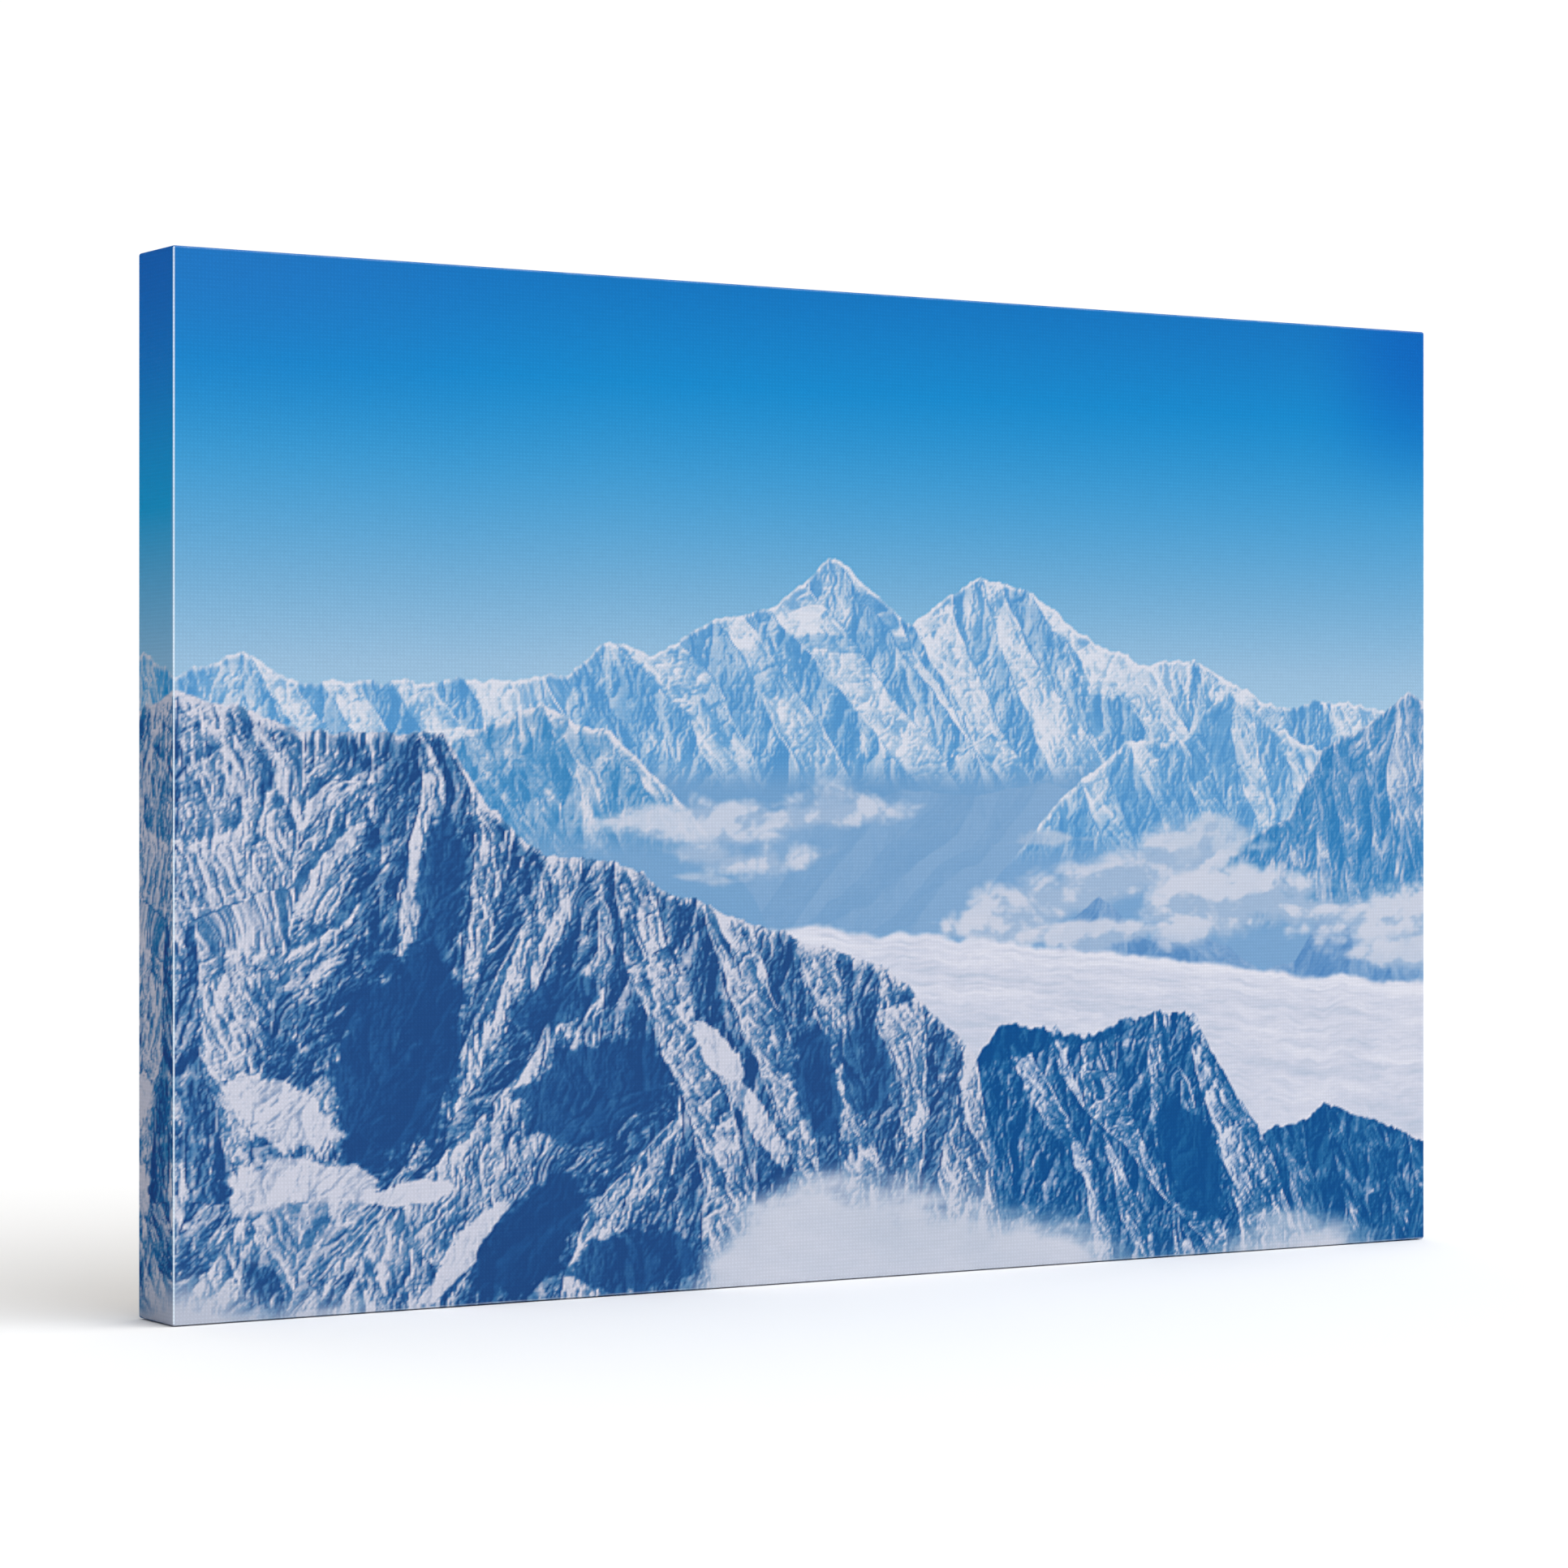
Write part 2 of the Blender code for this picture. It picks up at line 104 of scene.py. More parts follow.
def ridged(x, y, octaves, seed, gain=0.5):
    """Noise with sharp ridges at 1 and round valleys at 0."""
    total, size, whole, weight = 0, 1.0, 0.0, F(1)
    for octave in range(octaves):
        scale = F(2**octave)
        ridge = 1 - np.abs(noise(x * scale + F(31.7 * octave), y * scale, seed + octave)) * F(1.6)
        ridge = np.clip(ridge, 0, 1) ** 2
        total = total + F(size) * ridge * weight
        weight = np.clip(ridge * F(1.3), 0, 1)
        whole += size
        size *= gain
    return total / F(whole)


def step(low, high, value):
    """A smooth rise from 0 at low to 1 at high; low may be the greater."""
    t = np.clip((value - low) / (high - low), 0, 1)
    return t * t * (3 - 2 * t)


def mixed(first, second, share):
    """The first colours with this share of the second."""
    first, second = np.asarray(first, F), np.asarray(second, F)
    return first + (second - first) * np.asarray(share, F)[..., None]


def ramp(value, stops):
    """The colour at each value, between the stops on either side of it."""
    places = [place for place, _ in stops]
    parts = [np.interp(value, places, [colour[k] for _, colour in stops]) for k in range(3)]
    return np.stack(parts, -1).astype(F)


def thousandths(points):
    return [(u / 1000, v / 1000) for u, v in points]


def lengthened(spur):
    """The spur, begun a little above the crest and carried on past its end."""
    (u0, v0), (u1, v1) = spur[-2:]
    onward = BEYOND_END / math.hypot(u1 - u0, v1 - v0)
    end = (u1 + (u1 - u0) * onward, v1 + (v1 - v0) * onward)
    return [(spur[0][0], spur[0][1] + ABOVE_CREST), *spur, end]


def spur_field(x, y, spurs):
    """Distance to the nearest spur and to the next, the side it lies on, and how far along.

    The side is 1 to the right of the spur and -1 to the left.
    """
    shape = x.shape
    near, following = np.full(shape, FAR_OFF, F), np.full(shape, FAR_OFF, F)
    side, along = np.zeros(shape, F), np.zeros(shape, F)
    for number, spur in enumerate(spurs):
        spur = lengthened(thousandths(spur))
        own, own_side, own_along = np.full(shape, FAR_OFF, F), np.zeros(shape, F), np.zeros(shape, F)
        run = SPUR_SHIFT * number
        for (u0, v0), (u1, v1) in zip(spur, spur[1:]):
            dx, dy = (u1 - u0) * ASPECT, v1 - v0
            length = float(np.hypot(dx, dy))
            px, py = x - F(u0 * ASPECT), y - F(v0)
            t = np.clip((px * F(dx) + py * F(dy)) * F(1 / length**2), 0, 1)
            distance = np.hypot(px - t * F(dx), py - t * F(dy))
            closer = distance < own
            own = np.where(closer, distance, own)
            own_side = np.where(closer, np.sign(F(dx) * py - F(dy) * px), own_side)
            own_along = np.where(closer, F(run) + t * F(length), own_along)
            run += length
        closer = own < near
        following = np.where(closer, near, np.minimum(following, own))
        near = np.where(closer, own, near)
        side = np.where(closer, own_side, side)
        along = np.where(closer, own_along, along)
    return near, following, side, along


class Picture:
    """The picture's colours, and the place of each of its points."""

    def __init__(self, columns, rows):
        u = (np.arange(columns) / (columns - 1)).astype(F)
        v = (np.arange(rows) / (rows - 1)).astype(F)
        self.u, self.v = np.meshgrid(u, v)
        self.x, self.y = self.u * F(ASPECT), self.v
        self.step, self.stride = 1 / (rows - 1), ASPECT / (columns - 1)
        self.colour = np.zeros((rows, columns, 3), F)

    def window(self, left, right, bottom, top):
        """The part of the picture between these places."""
        rows, columns = self.u.shape
        first_column = max(0, int(left * (columns - 1)))
        end_column = min(columns, int(right * (columns - 1)) + 2)
        first_row = max(0, int(bottom * (rows - 1)))
        end_row = min(rows, int(top * (rows - 1)) + 2)
        return slice(first_row, end_row), slice(first_column, end_column)

    def blend(self, where, colour, share):
        self.colour[where] = mixed(self.colour[where], colour, share)


def outline(u, points):
    """The height of a line through these points."""
    return np.interp(u, [p[0] for p in points], [p[1] for p in points]).astype(F)


def paint_sky(pic, stops, corners):
    """Colours by height, with corners: (u from, u to, v from, v to, colour, share)."""
    pic.colour[:] = ramp(pic.v, stops)
    for u0, u1, v0, v1, colour, strength in corners:
        share = step(u0, u1, pic.u) * step(v0, v1, pic.v) * strength
        pic.colour[:] = mixed(pic.colour, colour, share)


def crest_line(across, crest, seed, jag):
    """The crest's height over each column, with teeth on it."""
    teeth = ridged(across * 20, across * 0 + 0.3, 4, seed + 20, 0.6) - F(0.45)
    line = outline(across / ASPECT, crest) + jag * teeth
    return line + jag * 0.35 * fractal(across * 110, across * 0 + 0.7, 2, seed + 24)


def patched(shade, x, y, wx, wy, spec):
    """The shade with the range's patches in it, and how calm each place is."""
    calm = np.zeros_like(x)
    if "patches" not in spec:
        return shade, calm
    ragged = 0.6 * fractal(x * 24, y * 28, 5, spec["seed"] + 60, 0.7)
    for middle_u, middle_v, half_u, half_v, tilt, amount, still in spec["patches"]:
        up = wy - middle_v
        across = (wx - middle_u * ASPECT) / ASPECT - up * F(tilt)
        inside = step(1.06, 0.86, np.hypot(across / half_u, up / half_v) + ragged)
        shade = shade * (1 - inside * 0.8) + amount * inside
        calm = np.maximum(calm, inside * still)
    return shade, calm


def relief(pic, x, y, flow, down, side, spec):
    """Gullies and flutes that run downhill, rough rock, and faces lit from the right."""
    seed, fine, gain = spec["seed"], spec["fine"], spec["gains"]
    gully = ridged(flow * F(fine * 0.62) + 3 * side, down * F(fine * 0.2) + 7 * side, 4, seed + 1, 0.66)
    flute = ridged(flow * F(fine * 2.4) + 3 * side, down * F(fine * 0.4) + 7 * side, 3, seed + 3, 0.7)
    rough = fractal(x * F(fine * 1.5), y * F(fine * 1.2), 4, seed + 12, 0.8)
    height = ridged(flow * F(fine * 0.24), down * F(fine * 0.13) + 5 * side, 7, seed + 6, 0.58)
    slope_up, slope_right = np.gradient(height, F(pic.step * fine), F(pic.stride * fine))
    facet = np.clip(-slope_right * 2.3 + slope_up, -1, 1)
    patchy = step(-0.25, 0.35, fractal(x * F(fine * 0.3), y * F(fine * 0.3), 3, seed + 44))
    # Each ridged noise has its own mean taken off.
    detail = gain["gully"] * (gully - F(0.36)) + gain["flute"] * (flute - F(0.40)) * (1 - patchy)
    return detail + gain["rough"] * rough * (0.5 + patchy) + gain["facet"] * facet


def paint_range(pic, spec):
    """One range: crest, spurs lit from the right, gullies down their sides, patches of shade or snow."""
    crest = thousandths(spec["crest"])
    top = max(v for _, v in crest) + 0.02
    where = pic.window(crest[0][0] - 0.01, crest[-1][0] + 0.01, spec["foot"], top)
    x, y, v = pic.x[where], pic.y[where], pic.v[where]
    seed, fine, gain = spec["seed"], spec["fine"], spec["gains"]
    depth = crest_line(x[0], crest, seed, spec["jag"])[None, :] - v
    wx = x + F(spec["warp"]) * fractal(x * 14, y * 14, 3, seed + 50)
    wy = y + F(spec["warp"]) * fractal(x * 14 + 40, y * 14, 3, seed + 54)
    near, following, side, along = spur_field(wx, wy, spec["spurs"])
    share = near / (near + following + F(1e-6)) * 2
    # Across and down the slope, which falls away from the spur at this slant.
    slant = spec["slant"]
    lean = 1 / float(np.hypot(1, slant))
    along = along + F(0.006) * fractal(x * 22, y * 22, 3, seed + 70, 0.5)
    flow = (along - near * slant) * lean - F(0.35) * side * x
    down = (along * slant + near) * lean - F(0.35) * y
    macro = side * step(0.0, 0.10, share) * (1 - 0.5 * share) * gain["macro"]
    shade = macro + gain["big"] * fractal(x * F(fine * 0.2), y * F(fine * 0.2), 3, seed + 33)
    shade, calm = patched(shade, x, y, wx, wy, spec)
    tone = spec["level"] + shade + relief(pic, x, y, flow, down, side, spec) * (1 - 0.82 * calm)
    tone = 0.5 + (tone - 0.5) * spec.get("contrast", 1.0) + 0.45 * step(spec["cap"], 0, depth)
    face = ramp(np.clip(tone, 0, 1), spec["stops"])
    if "haze" in spec:
        colour, low, high = spec["haze"]
        amount = step(high, low, v + F(0.02) * fractal(x * 8, y * 8, 3, seed + 40))
        face = mixed(face, colour, amount)
    pic.blend(where, face, step(-pic.step, pic.step, depth))


def paint_veil(pic, u_span, v_span, colour, strength, seed):
    """A flat veil of haze with soft edges: spans are (fade in, full, full, fade out)."""
    share = step(u_span[0], u_span[1], pic.u) * step(u_span[3], u_span[2], pic.u)
    share = share * step(v_span[0], v_span[1], pic.v) * step(v_span[3], v_span[2], pic.v)
    tint = fractal(pic.x * 6, pic.y * 14, 4, seed)[..., None] * np.array([12, 8, 5], F)
    pic.colour[:] = mixed(pic.colour, np.array(colour, F) + tint, share * F(strength))


def billow(x, y, octaves, seed):
    """Rounded heaps with creases between them, from about 0 to 1."""
    total, size, whole = 0, 1.0, 0.0
    for octave in range(octaves):
        scale = F(2.1**octave)
        total = total + F(size) * np.abs(noise(x * scale + F(9.1 * octave), y * scale, seed + octave)) * 1.6
        whole += size
        size *= 0.55
    return total / F(whole)


def paint_cloud(pic, spine, up, down, seed, lit, shaded, density, size):
    """A bank of cloud that reaches this far up and down from its spine, lit from above on the left."""
    first, last = spine[0][0], spine[-1][0]
    lowest, highest = min(v for _, v in spine), max(v for _, v in spine)
    where = pic.window(first - 0.03, last + 0.03, lowest - down * 1.6, highest + up * 1.9)
    x, y, u, v = pic.x[where], pic.y[where], pic.u[where], pic.v[where]
    height = v - outline(u, spine)
    body = np.where(height > 0, 1 - height / up, 1 + height / down)
    ends = step(first - 0.01, first + 0.08, u) * step(last + 0.01, last - 0.08, u)
    size = F(size)

    def heap(px, py):
        wx = px + F(0.02) * noise(px * 9, py * 9, seed + 21)
        drift = fractal(wx * size * 0.8, py * size * 1.3, 3, seed, 0.5)
        return drift * 0.9 + billow(wx * size * 1.5, py * size * 2.1, 4, seed + 5) * 0.75

    here = heap(x, y)
    share = step(-0.10, 0.50, (body - 0.42) * 1.1 + here - (1 - ends) * 1.2) * density
    above = heap(x - F(0.007), y + F(0.014))
    light = np.clip(0.44 + (here - above) * 2.6 + 0.5 * (here - 0.3) + height / up * 0.3, 0, 1)
    soft = 1 - 0.35 * step(0.4, 1.2, -height / down)
    pic.blend(where, mixed(shaded, lit, step(0.05, 0.9, light)), share * soft)


def paint_cloud_sea(pic, edge, seed, stops):
    """The flat top of low cloud below this edge, with bands that close up into the distance."""
    where = pic.window(0.36, 1, 0.0, max(v for _, v in edge) + 0.03)
    x, y, u, v = pic.x[where], pic.y[where], pic.u[where], pic.v[where]
    xr = x[0]
    line = outline(u[0], edge) + F(0.010) * np.abs(fractal(xr * 9, xr * 0 + 3, 4, seed, 0.6)) * 2
    depth = line[None, :] - v + F(0.004) * fractal(x * 40, y * 60, 4, seed + 6)
    far = np.log(F(0.10) + np.clip(depth, 0, 1))
    wx = x + F(0.05) * fractal(x * 5, far * 6, 3, seed + 30)
    bands = fractal(wx * 5, far * 11, 5, seed + 10, 0.62)
    puffs = 1 - np.abs(fractal(wx * 16, far * 17, 4, seed + 17, 0.6)) * 2
    tone = 0.5 + bands * 0.8 + (puffs - 0.62) * 0.5 + 0.35 * step(0.035, 0, depth)
    pic.blend(where, ramp(np.clip(tone, 0, 1), stops), step(-0.002, 0.005, depth))


def paint_fog(pic, edge, seed, stops, left_tint):
    """Fog along the bottom, up to this edge."""
    where = pic.window(0, 1, 0, max(v for _, v in edge) + 0.09)
    x, y, u, v = pic.x[where], pic.y[where], pic.u[where], pic.v[where]
    wx = x + F(0.03) * fractal(x * 9, y * 9, 3, seed + 8)
    drift = fractal(wx * 7, y * 16, 5, seed, 0.6)
    share = step(-0.012, 0.045, outline(u, edge) - v + F(0.055) * drift)
    fog = ramp(np.clip(0.5 + drift * 0.8, 0, 1), stops)
    fog = mixed(fog, left_tint, step(0.16, 0.06, u))
    pic.blend(where, fog, share)


# Places on the picture are (u, v): u from 0 at the left to 1 at the right, v from 0 at the bottom to 1
# at the top. Stops are (tone from 0 to 1, colour), and colours are 0 to 255.
SKY = [
    (0.55, (168, 199, 223)), (0.62, (150, 188, 218)), (0.7, (113, 172, 212)), (0.8, (66, 155, 209)),
    (0.9, (20, 136, 203)), (1, (16, 117, 191)),
]
PALE_SNOW = [
    (0, (82, 146, 200)), (0.3, (106, 162, 208)), (0.5, (140, 178, 213)), (0.7, (176, 197, 220)),
    (0.85, (199, 209, 225)), (1, (214, 218, 230)),
]
BLUE_ROCK = [
    (0, (12, 78, 140)), (0.22, (26, 96, 153)), (0.42, (48, 112, 164)), (0.58, (92, 136, 180)),
    (0.72, (140, 162, 196)), (0.86, (178, 190, 214)), (1, (206, 211, 226)),
]
STREAKED = dict(macro=0.16, big=0.26, gully=0.62, flute=0.45, rough=0.3, facet=0.24)
CARVED = dict(macro=0.22, big=0.2, gully=0.36, flute=0.28, rough=0.46, facet=0.3)


# The picture's layout follows the photographed one: the outlines, the patches and the clouds below were read
# off it, and the colours set from ones measured on it. Only the detail inside them is noise.
# A range has the seed and fineness of its noise, its crest from left to right and the spurs that run down
# from it, both in thousandths of the picture, and patches: centre u and v, half width, half height, lean,
# change of tone, and how calm. What its gains weigh is in paint_range and relief.
FAR = dict(
    seed=11, fine=30, jag=0.009, warp=0.01, slant=1.4, cap=0.006, foot=0.46, level=0.56,
    gains=dict(macro=0.24, big=0.3, gully=0.4, flute=0.35, rough=0.3, facet=0.3),
    stops=PALE_SNOW,
    haze=((112, 159, 203), 0.48, 0.52),
    crest=[
        (0, 600), (45, 627), (85, 597), (150, 600), (200, 602), (275, 608), (310, 643), (340, 630),
        (390, 667), (430, 678), (485, 734), (545, 668), (600, 714), (645, 704), (700, 652), (740, 630),
        (790, 637), (860, 585), (905, 593), (1000, 580),
    ],
    spurs=[
        [(46, 627), (60, 590), (80, 560)], [(100, 602), (110, 570), (120, 550)],
        [(150, 600), (160, 575), (180, 550)], [(200, 602), (215, 570), (220, 540)],
        [(310, 643), (335, 610), (370, 570), (380, 540)], [(390, 667), (410, 630), (430, 580), (450, 530)],
        [(430, 678), (460, 645), (490, 600), (520, 550), (540, 520)], [(484, 734), (500, 705), (515, 680)],
        [(550, 668), (565, 630), (590, 580), (600, 530)],
        [(604, 714), (612, 670), (630, 620), (645, 570), (660, 520)],
        [(645, 704), (665, 660), (700, 620), (735, 580), (750, 550)], [(790, 637), (800, 600), (820, 570)],
        [(905, 593), (920, 560), (930, 530)],
    ],
    patches=[
        (0.74, 0.62, 0.05, 0.03, 0, 0.25, 0.3), (0.43, 0.615, 0.025, 0.03, 0, -0.15, 0.2),
        (0.516, 0.678, 0.016, 0.022, -0.5, -0.24, 0.3), (0.505, 0.645, 0.055, 0.01, 0, -0.18, 0.2),
        (0.604, 0.66, 0.011, 0.032, 0.2, -0.2, 0.2), (0.65, 0.665, 0.012, 0.028, -0.2, -0.2, 0.2),
    ],
)
LEFT_MID = dict(
    seed=31, fine=34, jag=0.008, warp=0.012, slant=1.6, cap=0.01, foot=0.28, level=0.4,
    gains=STREAKED,
    stops=[
        (0, (62, 134, 188)), (0.3, (88, 150, 198)), (0.5, (124, 166, 204)), (0.7, (164, 187, 213)),
        (0.85, (194, 204, 220)), (1, (212, 214, 226)),
    ],
    haze=((118, 162, 203), 0.42, 0.47),
    crest=[(100, 260), (185, 540), (260, 582), (285, 560), (310, 553), (370, 475), (420, 390), (460, 260)],
    spurs=[
        [(200, 553), (220, 510), (235, 470)], [(260, 582), (270, 540), (285, 500), (290, 460)],
        [(310, 553), (330, 510), (345, 470)], [(240, 570), (235, 530), (250, 490)],
    ],
    patches=[(0.25, 0.515, 0.02, 0.035, 0.2, -0.18, 0.2)],
)
RIGHT_PEAK = dict(
    seed=51, fine=34, jag=0.009, warp=0.012, slant=1.6, cap=0.01, foot=0.28, level=0.42,
    gains=STREAKED,
    stops=PALE_SNOW,
    haze=((120, 163, 205), 0.41, 0.455),
    crest=[(550, 300), (660, 470), (730, 548), (775, 548), (820, 606), (860, 563), (1000, 480)],
    spurs=[
        [(730, 548), (740, 510), (760, 470), (770, 430)],
        [(820, 606), (820, 560), (825, 520), (840, 480), (850, 440)], [(775, 548), (785, 500), (800, 460)],
        [(860, 560), (875, 520), (880, 480)], [(690, 500), (700, 470), (710, 440)],
    ],
    patches=[(0.8, 0.55, 0.02, 0.045, 0.1, -0.2, 0.2)],
)
RIGHT_EDGE = dict(
    seed=71, fine=36, jag=0.006, warp=0.012, slant=2, cap=0.006, foot=0.28, level=0.42,
    gains=STREAKED,
    stops=[
        (0, (48, 124, 183)), (0.3, (76, 141, 192)), (0.5, (104, 152, 197)), (0.7, (144, 172, 206)),
        (0.85, (176, 191, 214)), (1, (200, 207, 222)),
    ],
    haze=((122, 164, 205), 0.33, 0.38),
    crest=[(720, 260), (800, 420), (875, 468), (905, 538), (945, 565), (985, 602), (1000, 596)],
    spurs=[
        [(980, 600), (970, 550), (965, 500), (970, 440), (970, 380)],
        [(920, 553), (915, 500), (920, 450), (930, 400)], [(950, 566), (945, 520), (950, 460)],
        [(870, 465), (875, 430), (880, 390)], [(895, 510), (900, 460), (900, 420)],
    ],
)
LOW_RIGHT = dict(
    seed=171, fine=46, jag=0.012, warp=0.012, slant=1.6, cap=0.002, foot=0, level=0.2,
    gains=STREAKED,
    stops=BLUE_ROCK,
    crest=[(800, 20), (840, 120), (912, 150), (955, 138), (1000, 108)],
    spurs=[
        [(860, 124), (870, 90), (880, 50), (880, 0)], [(912, 150), (915, 100), (925, 50), (930, 0)],
        [(945, 140), (950, 100), (965, 60), (970, 0)], [(990, 115), (990, 80), (1000, 30)],
    ],
)
LOW_MID = dict(
    seed=191, fine=64, jag=0.014, warp=0.012, slant=1.4, cap=0.003, foot=0, level=0.41, contrast=1.2,
    gains=CARVED,
    stops=BLUE_ROCK,
    crest=[
        (560, 0), (590, 200), (620, 252), (690, 240), (755, 262), (790, 253), (820, 185), (860, 100),
        (890, -20),
    ],
    spurs=[
        [(620, 250), (635, 200), (660, 150), (690, 80), (700, 0)],
        [(697, 255), (690, 200), (700, 140), (720, 80), (735, 0)],
        [(755, 262), (745, 200), (750, 150), (760, 100)],
        [(783, 255), (790, 200), (800, 150), (812, 100), (825, 40), (830, 0)],
        [(660, 245), (670, 200), (690, 170)], [(775, 150), (765, 90), (770, 30)],
    ],
    patches=[
        (0.785, 0.1, 0.026, 0.07, -0.25, -0.3, 0.8), (0.63, 0.235, 0.035, 0.02, 0, -0.3, 0.5),
        (0.7, 0.24, 0.03, 0.015, 0, -0.25, 0.5),
    ],
)
NEAR = dict(
    seed=211, fine=64, jag=0.009, warp=0.012, slant=1.6, cap=0.013, foot=0, level=0.47, contrast=1.26,
    gains=CARVED,
    stops=[
        (0, (30, 73, 130)), (0.15, (34, 84, 142)), (0.4, (58, 113, 163)), (0.56, (92, 136, 178)),
        (0.7, (138, 157, 188)), (0.88, (180, 188, 208)), (1, (206, 208, 222)),
    ],
    crest=[
        (0, 592), (50, 570), (100, 549), (187, 552), (220, 480), (260, 430), (313, 430), (360, 392),
        (435, 356), (530, 312), (600, 222), (630, -30),
    ],
    spurs=[
        [(0, 590), (5, 500), (0, 400), (-10, 300)], [(12, 320), (20, 220), (45, 120)],
        [(185, 552), (205, 500), (210, 450), (205, 385), (200, 300), (193, 240), (180, 170), (150, 120)],
        [(170, 500), (162, 420), (150, 340), (115, 260)], [(262, 430), (255, 390), (240, 350)],
        [(313, 430), (315, 370), (320, 320), (338, 280), (352, 230), (370, 170), (378, 120), (380, 60)],
        [(300, 340), (275, 290), (250, 235), (205, 165), (165, 115)],
        [(360, 170), (330, 130), (295, 85), (280, 30)],
        [(380, 390), (390, 340), (405, 280), (430, 200), (450, 130)],
        [(455, 349), (460, 300), (475, 250), (485, 180), (490, 120)],
        [(515, 317), (520, 270), (535, 210), (540, 140)], [(590, 235), (585, 200), (578, 150), (570, 100)],
    ],
    patches=[
        (0.155, 0.24, 0.045, 0.12, 0.12, -0.34, 0.85), (0.185, 0.4, 0.016, 0.07, 0.1, -0.26, 0.7),
        (0.3, 0.2, 0.055, 0.05, 0.3, -0.28, 0.8), (0.25, 0.06, 0.035, 0.06, 0.4, -0.33, 0.9),
        (0.47, 0.2, 0.022, 0.06, -0.1, -0.28, 0.8), (0.27, 0.29, 0.03, 0.03, 0.4, -0.25, 0.6),
        (0.51, 0.21, 0.02, 0.05, 0, -0.2, 0.6), (0.07, 0.42, 0.07, 0.13, 0.1, 0.17, 0.1),
        (0.072, 0.19, 0.034, 0.04, -0.5, 0.42, 0.62), (0.085, 0.118, 0.055, 0.03, -0.3, 0.42, 0.62),
        (0.16, 0.108, 0.03, 0.012, 0.8, 0.5, 0.8), (0.2, 0.045, 0.012, 0.05, 0.6, 0.45, 0.8),
        (0.1, 0.07, 0.08, 0.035, 0, 0.16, 0.35), (0.395, 0.23, 0.014, 0.035, -0.4, 0.5, 0.7),
        (0.42, 0.17, 0.012, 0.05, -0.5, 0.38, 0.4), (0.33, 0.03, 0.05, 0.03, 0.3, -0.3, 0.7),
    ],
)
VALLEY = dict(
    seed=251, fine=22, jag=0.004, warp=0.014, slant=1, cap=-0.01, foot=0.28, level=0.45,
    gains=dict(macro=0.16, big=0.35, gully=0.16, flute=0.06, rough=0.2, facet=0.05),
    stops=[(0, (100, 149, 196)), (0.5, (114, 158, 200)), (1, (130, 168, 206))],
    crest=[
        (340, 360), (380, 420), (430, 460), (480, 475), (540, 495), (600, 490), (660, 505), (690, 490),
        (720, 450), (760, 400), (800, 340),
    ],
    spurs=[
        [(540, 495), (500, 440), (470, 390)], [(660, 505), (620, 440), (560, 380), (540, 340)],
        [(600, 490), (585, 450), (550, 420)], [(430, 460), (420, 420), (400, 380)],
    ],
)
ISLANDS = dict(
    seed=271, fine=40, jag=0.004, warp=0.012, slant=1.2, cap=-0.01, foot=0.28, level=0.25,
    gains=dict(macro=0.22, big=0.2, gully=0.4, flute=0.2, rough=0.25, facet=0.1),
    stops=[(0, (72, 126, 184)), (0.5, (96, 144, 194)), (1, (140, 172, 208))],
    crest=[
        (660, 300), (675, 352), (690, 368), (705, 382), (720, 370), (735, 345), (750, 335), (765, 352),
        (790, 342), (820, 325), (850, 300), (880, 310), (905, 360), (930, 345), (960, 360), (1000, 370),
    ],
    spurs=[
        [(705, 382), (700, 350), (690, 310)], [(765, 352), (780, 330), (800, 300)],
        [(930, 350), (935, 320), (930, 290)], [(970, 360), (965, 330), (970, 300)],
    ],
)


def halved(colour):
    """Every second row, blended with the rows beside it."""
    beside = 0.22
    padded = np.concatenate([colour[1:2], colour, colour[-2:-1]])
    return (beside * (padded[:-2] + padded[2:]) + (1 - 2 * beside) * padded[1:-1])[::2]


def sharpened(colour, amount):
    """The picture with each point pushed away from the mean of those around it."""
    padded = np.pad(colour, ((1, 1), (1, 1), (0, 0)), mode="edge")
    soft = (padded[:-2] + 2 * padded[1:-1] + padded[2:]) / 4
    soft = (soft[:, :-2] + 2 * soft[:, 1:-1] + soft[:, 2:]) / 4
    return np.clip(colour + (colour - soft) * F(amount), 0, 255)


SHADED, LIT, PALE = (160, 183, 211), (203, 208, 223), (186, 198, 217)
# Clouds: spine in thousandths, reach up and down, seed, lit colour, density, size of the heaps.
VALLEY_CLOUDS = [
    ([(280, 462), (340, 468), (420, 462), (500, 472), (560, 478)], 0.034, 0.03, 101, LIT, 0.9, 10),
    ([(310, 442), (380, 430), (440, 420), (500, 436)], 0.034, 0.03, 121, LIT, 0.92, 10),
    ([(340, 412), (400, 405), (450, 402)], 0.012, 0.012, 127, PALE, 0.7, 10),
    ([(550, 345), (640, 366), (720, 395), (800, 425), (860, 435)], 0.05, 0.05, 103, LIT, 0.95, 9),
    ([(600, 435), (660, 445), (720, 442)], 0.016, 0.014, 133, PALE, 0.8, 10),
    ([(550, 360), (630, 352), (720, 352)], 0.018, 0.022, 139, LIT, 0.85, 10),
    ([(740, 430), (800, 455), (880, 450)], 0.026, 0.03, 137, (190, 201, 219), 0.8, 10),
]
FRONT_CLOUDS = [
    ([(700, 348), (760, 372), (840, 378), (920, 360), (1080, 352)], 0.052, 0.048, 107, LIT, 0.97, 9),
    ([(620, 345), (700, 340), (780, 350)], 0.018, 0.02, 147, LIT, 0.9, 10),
    ([(900, 310), (960, 320), (1080, 315)], 0.03, 0.03, 109, LIT, 0.85, 10),
]
SEA_EDGE = [(360, 340), (460, 358), (500, 348), (600, 338), (700, 326), (800, 310), (900, 290), (1000, 282)]
SEA_STOPS = [(0, (186, 196, 215)), (0.5, (204, 208, 224)), (1, (222, 223, 234))]
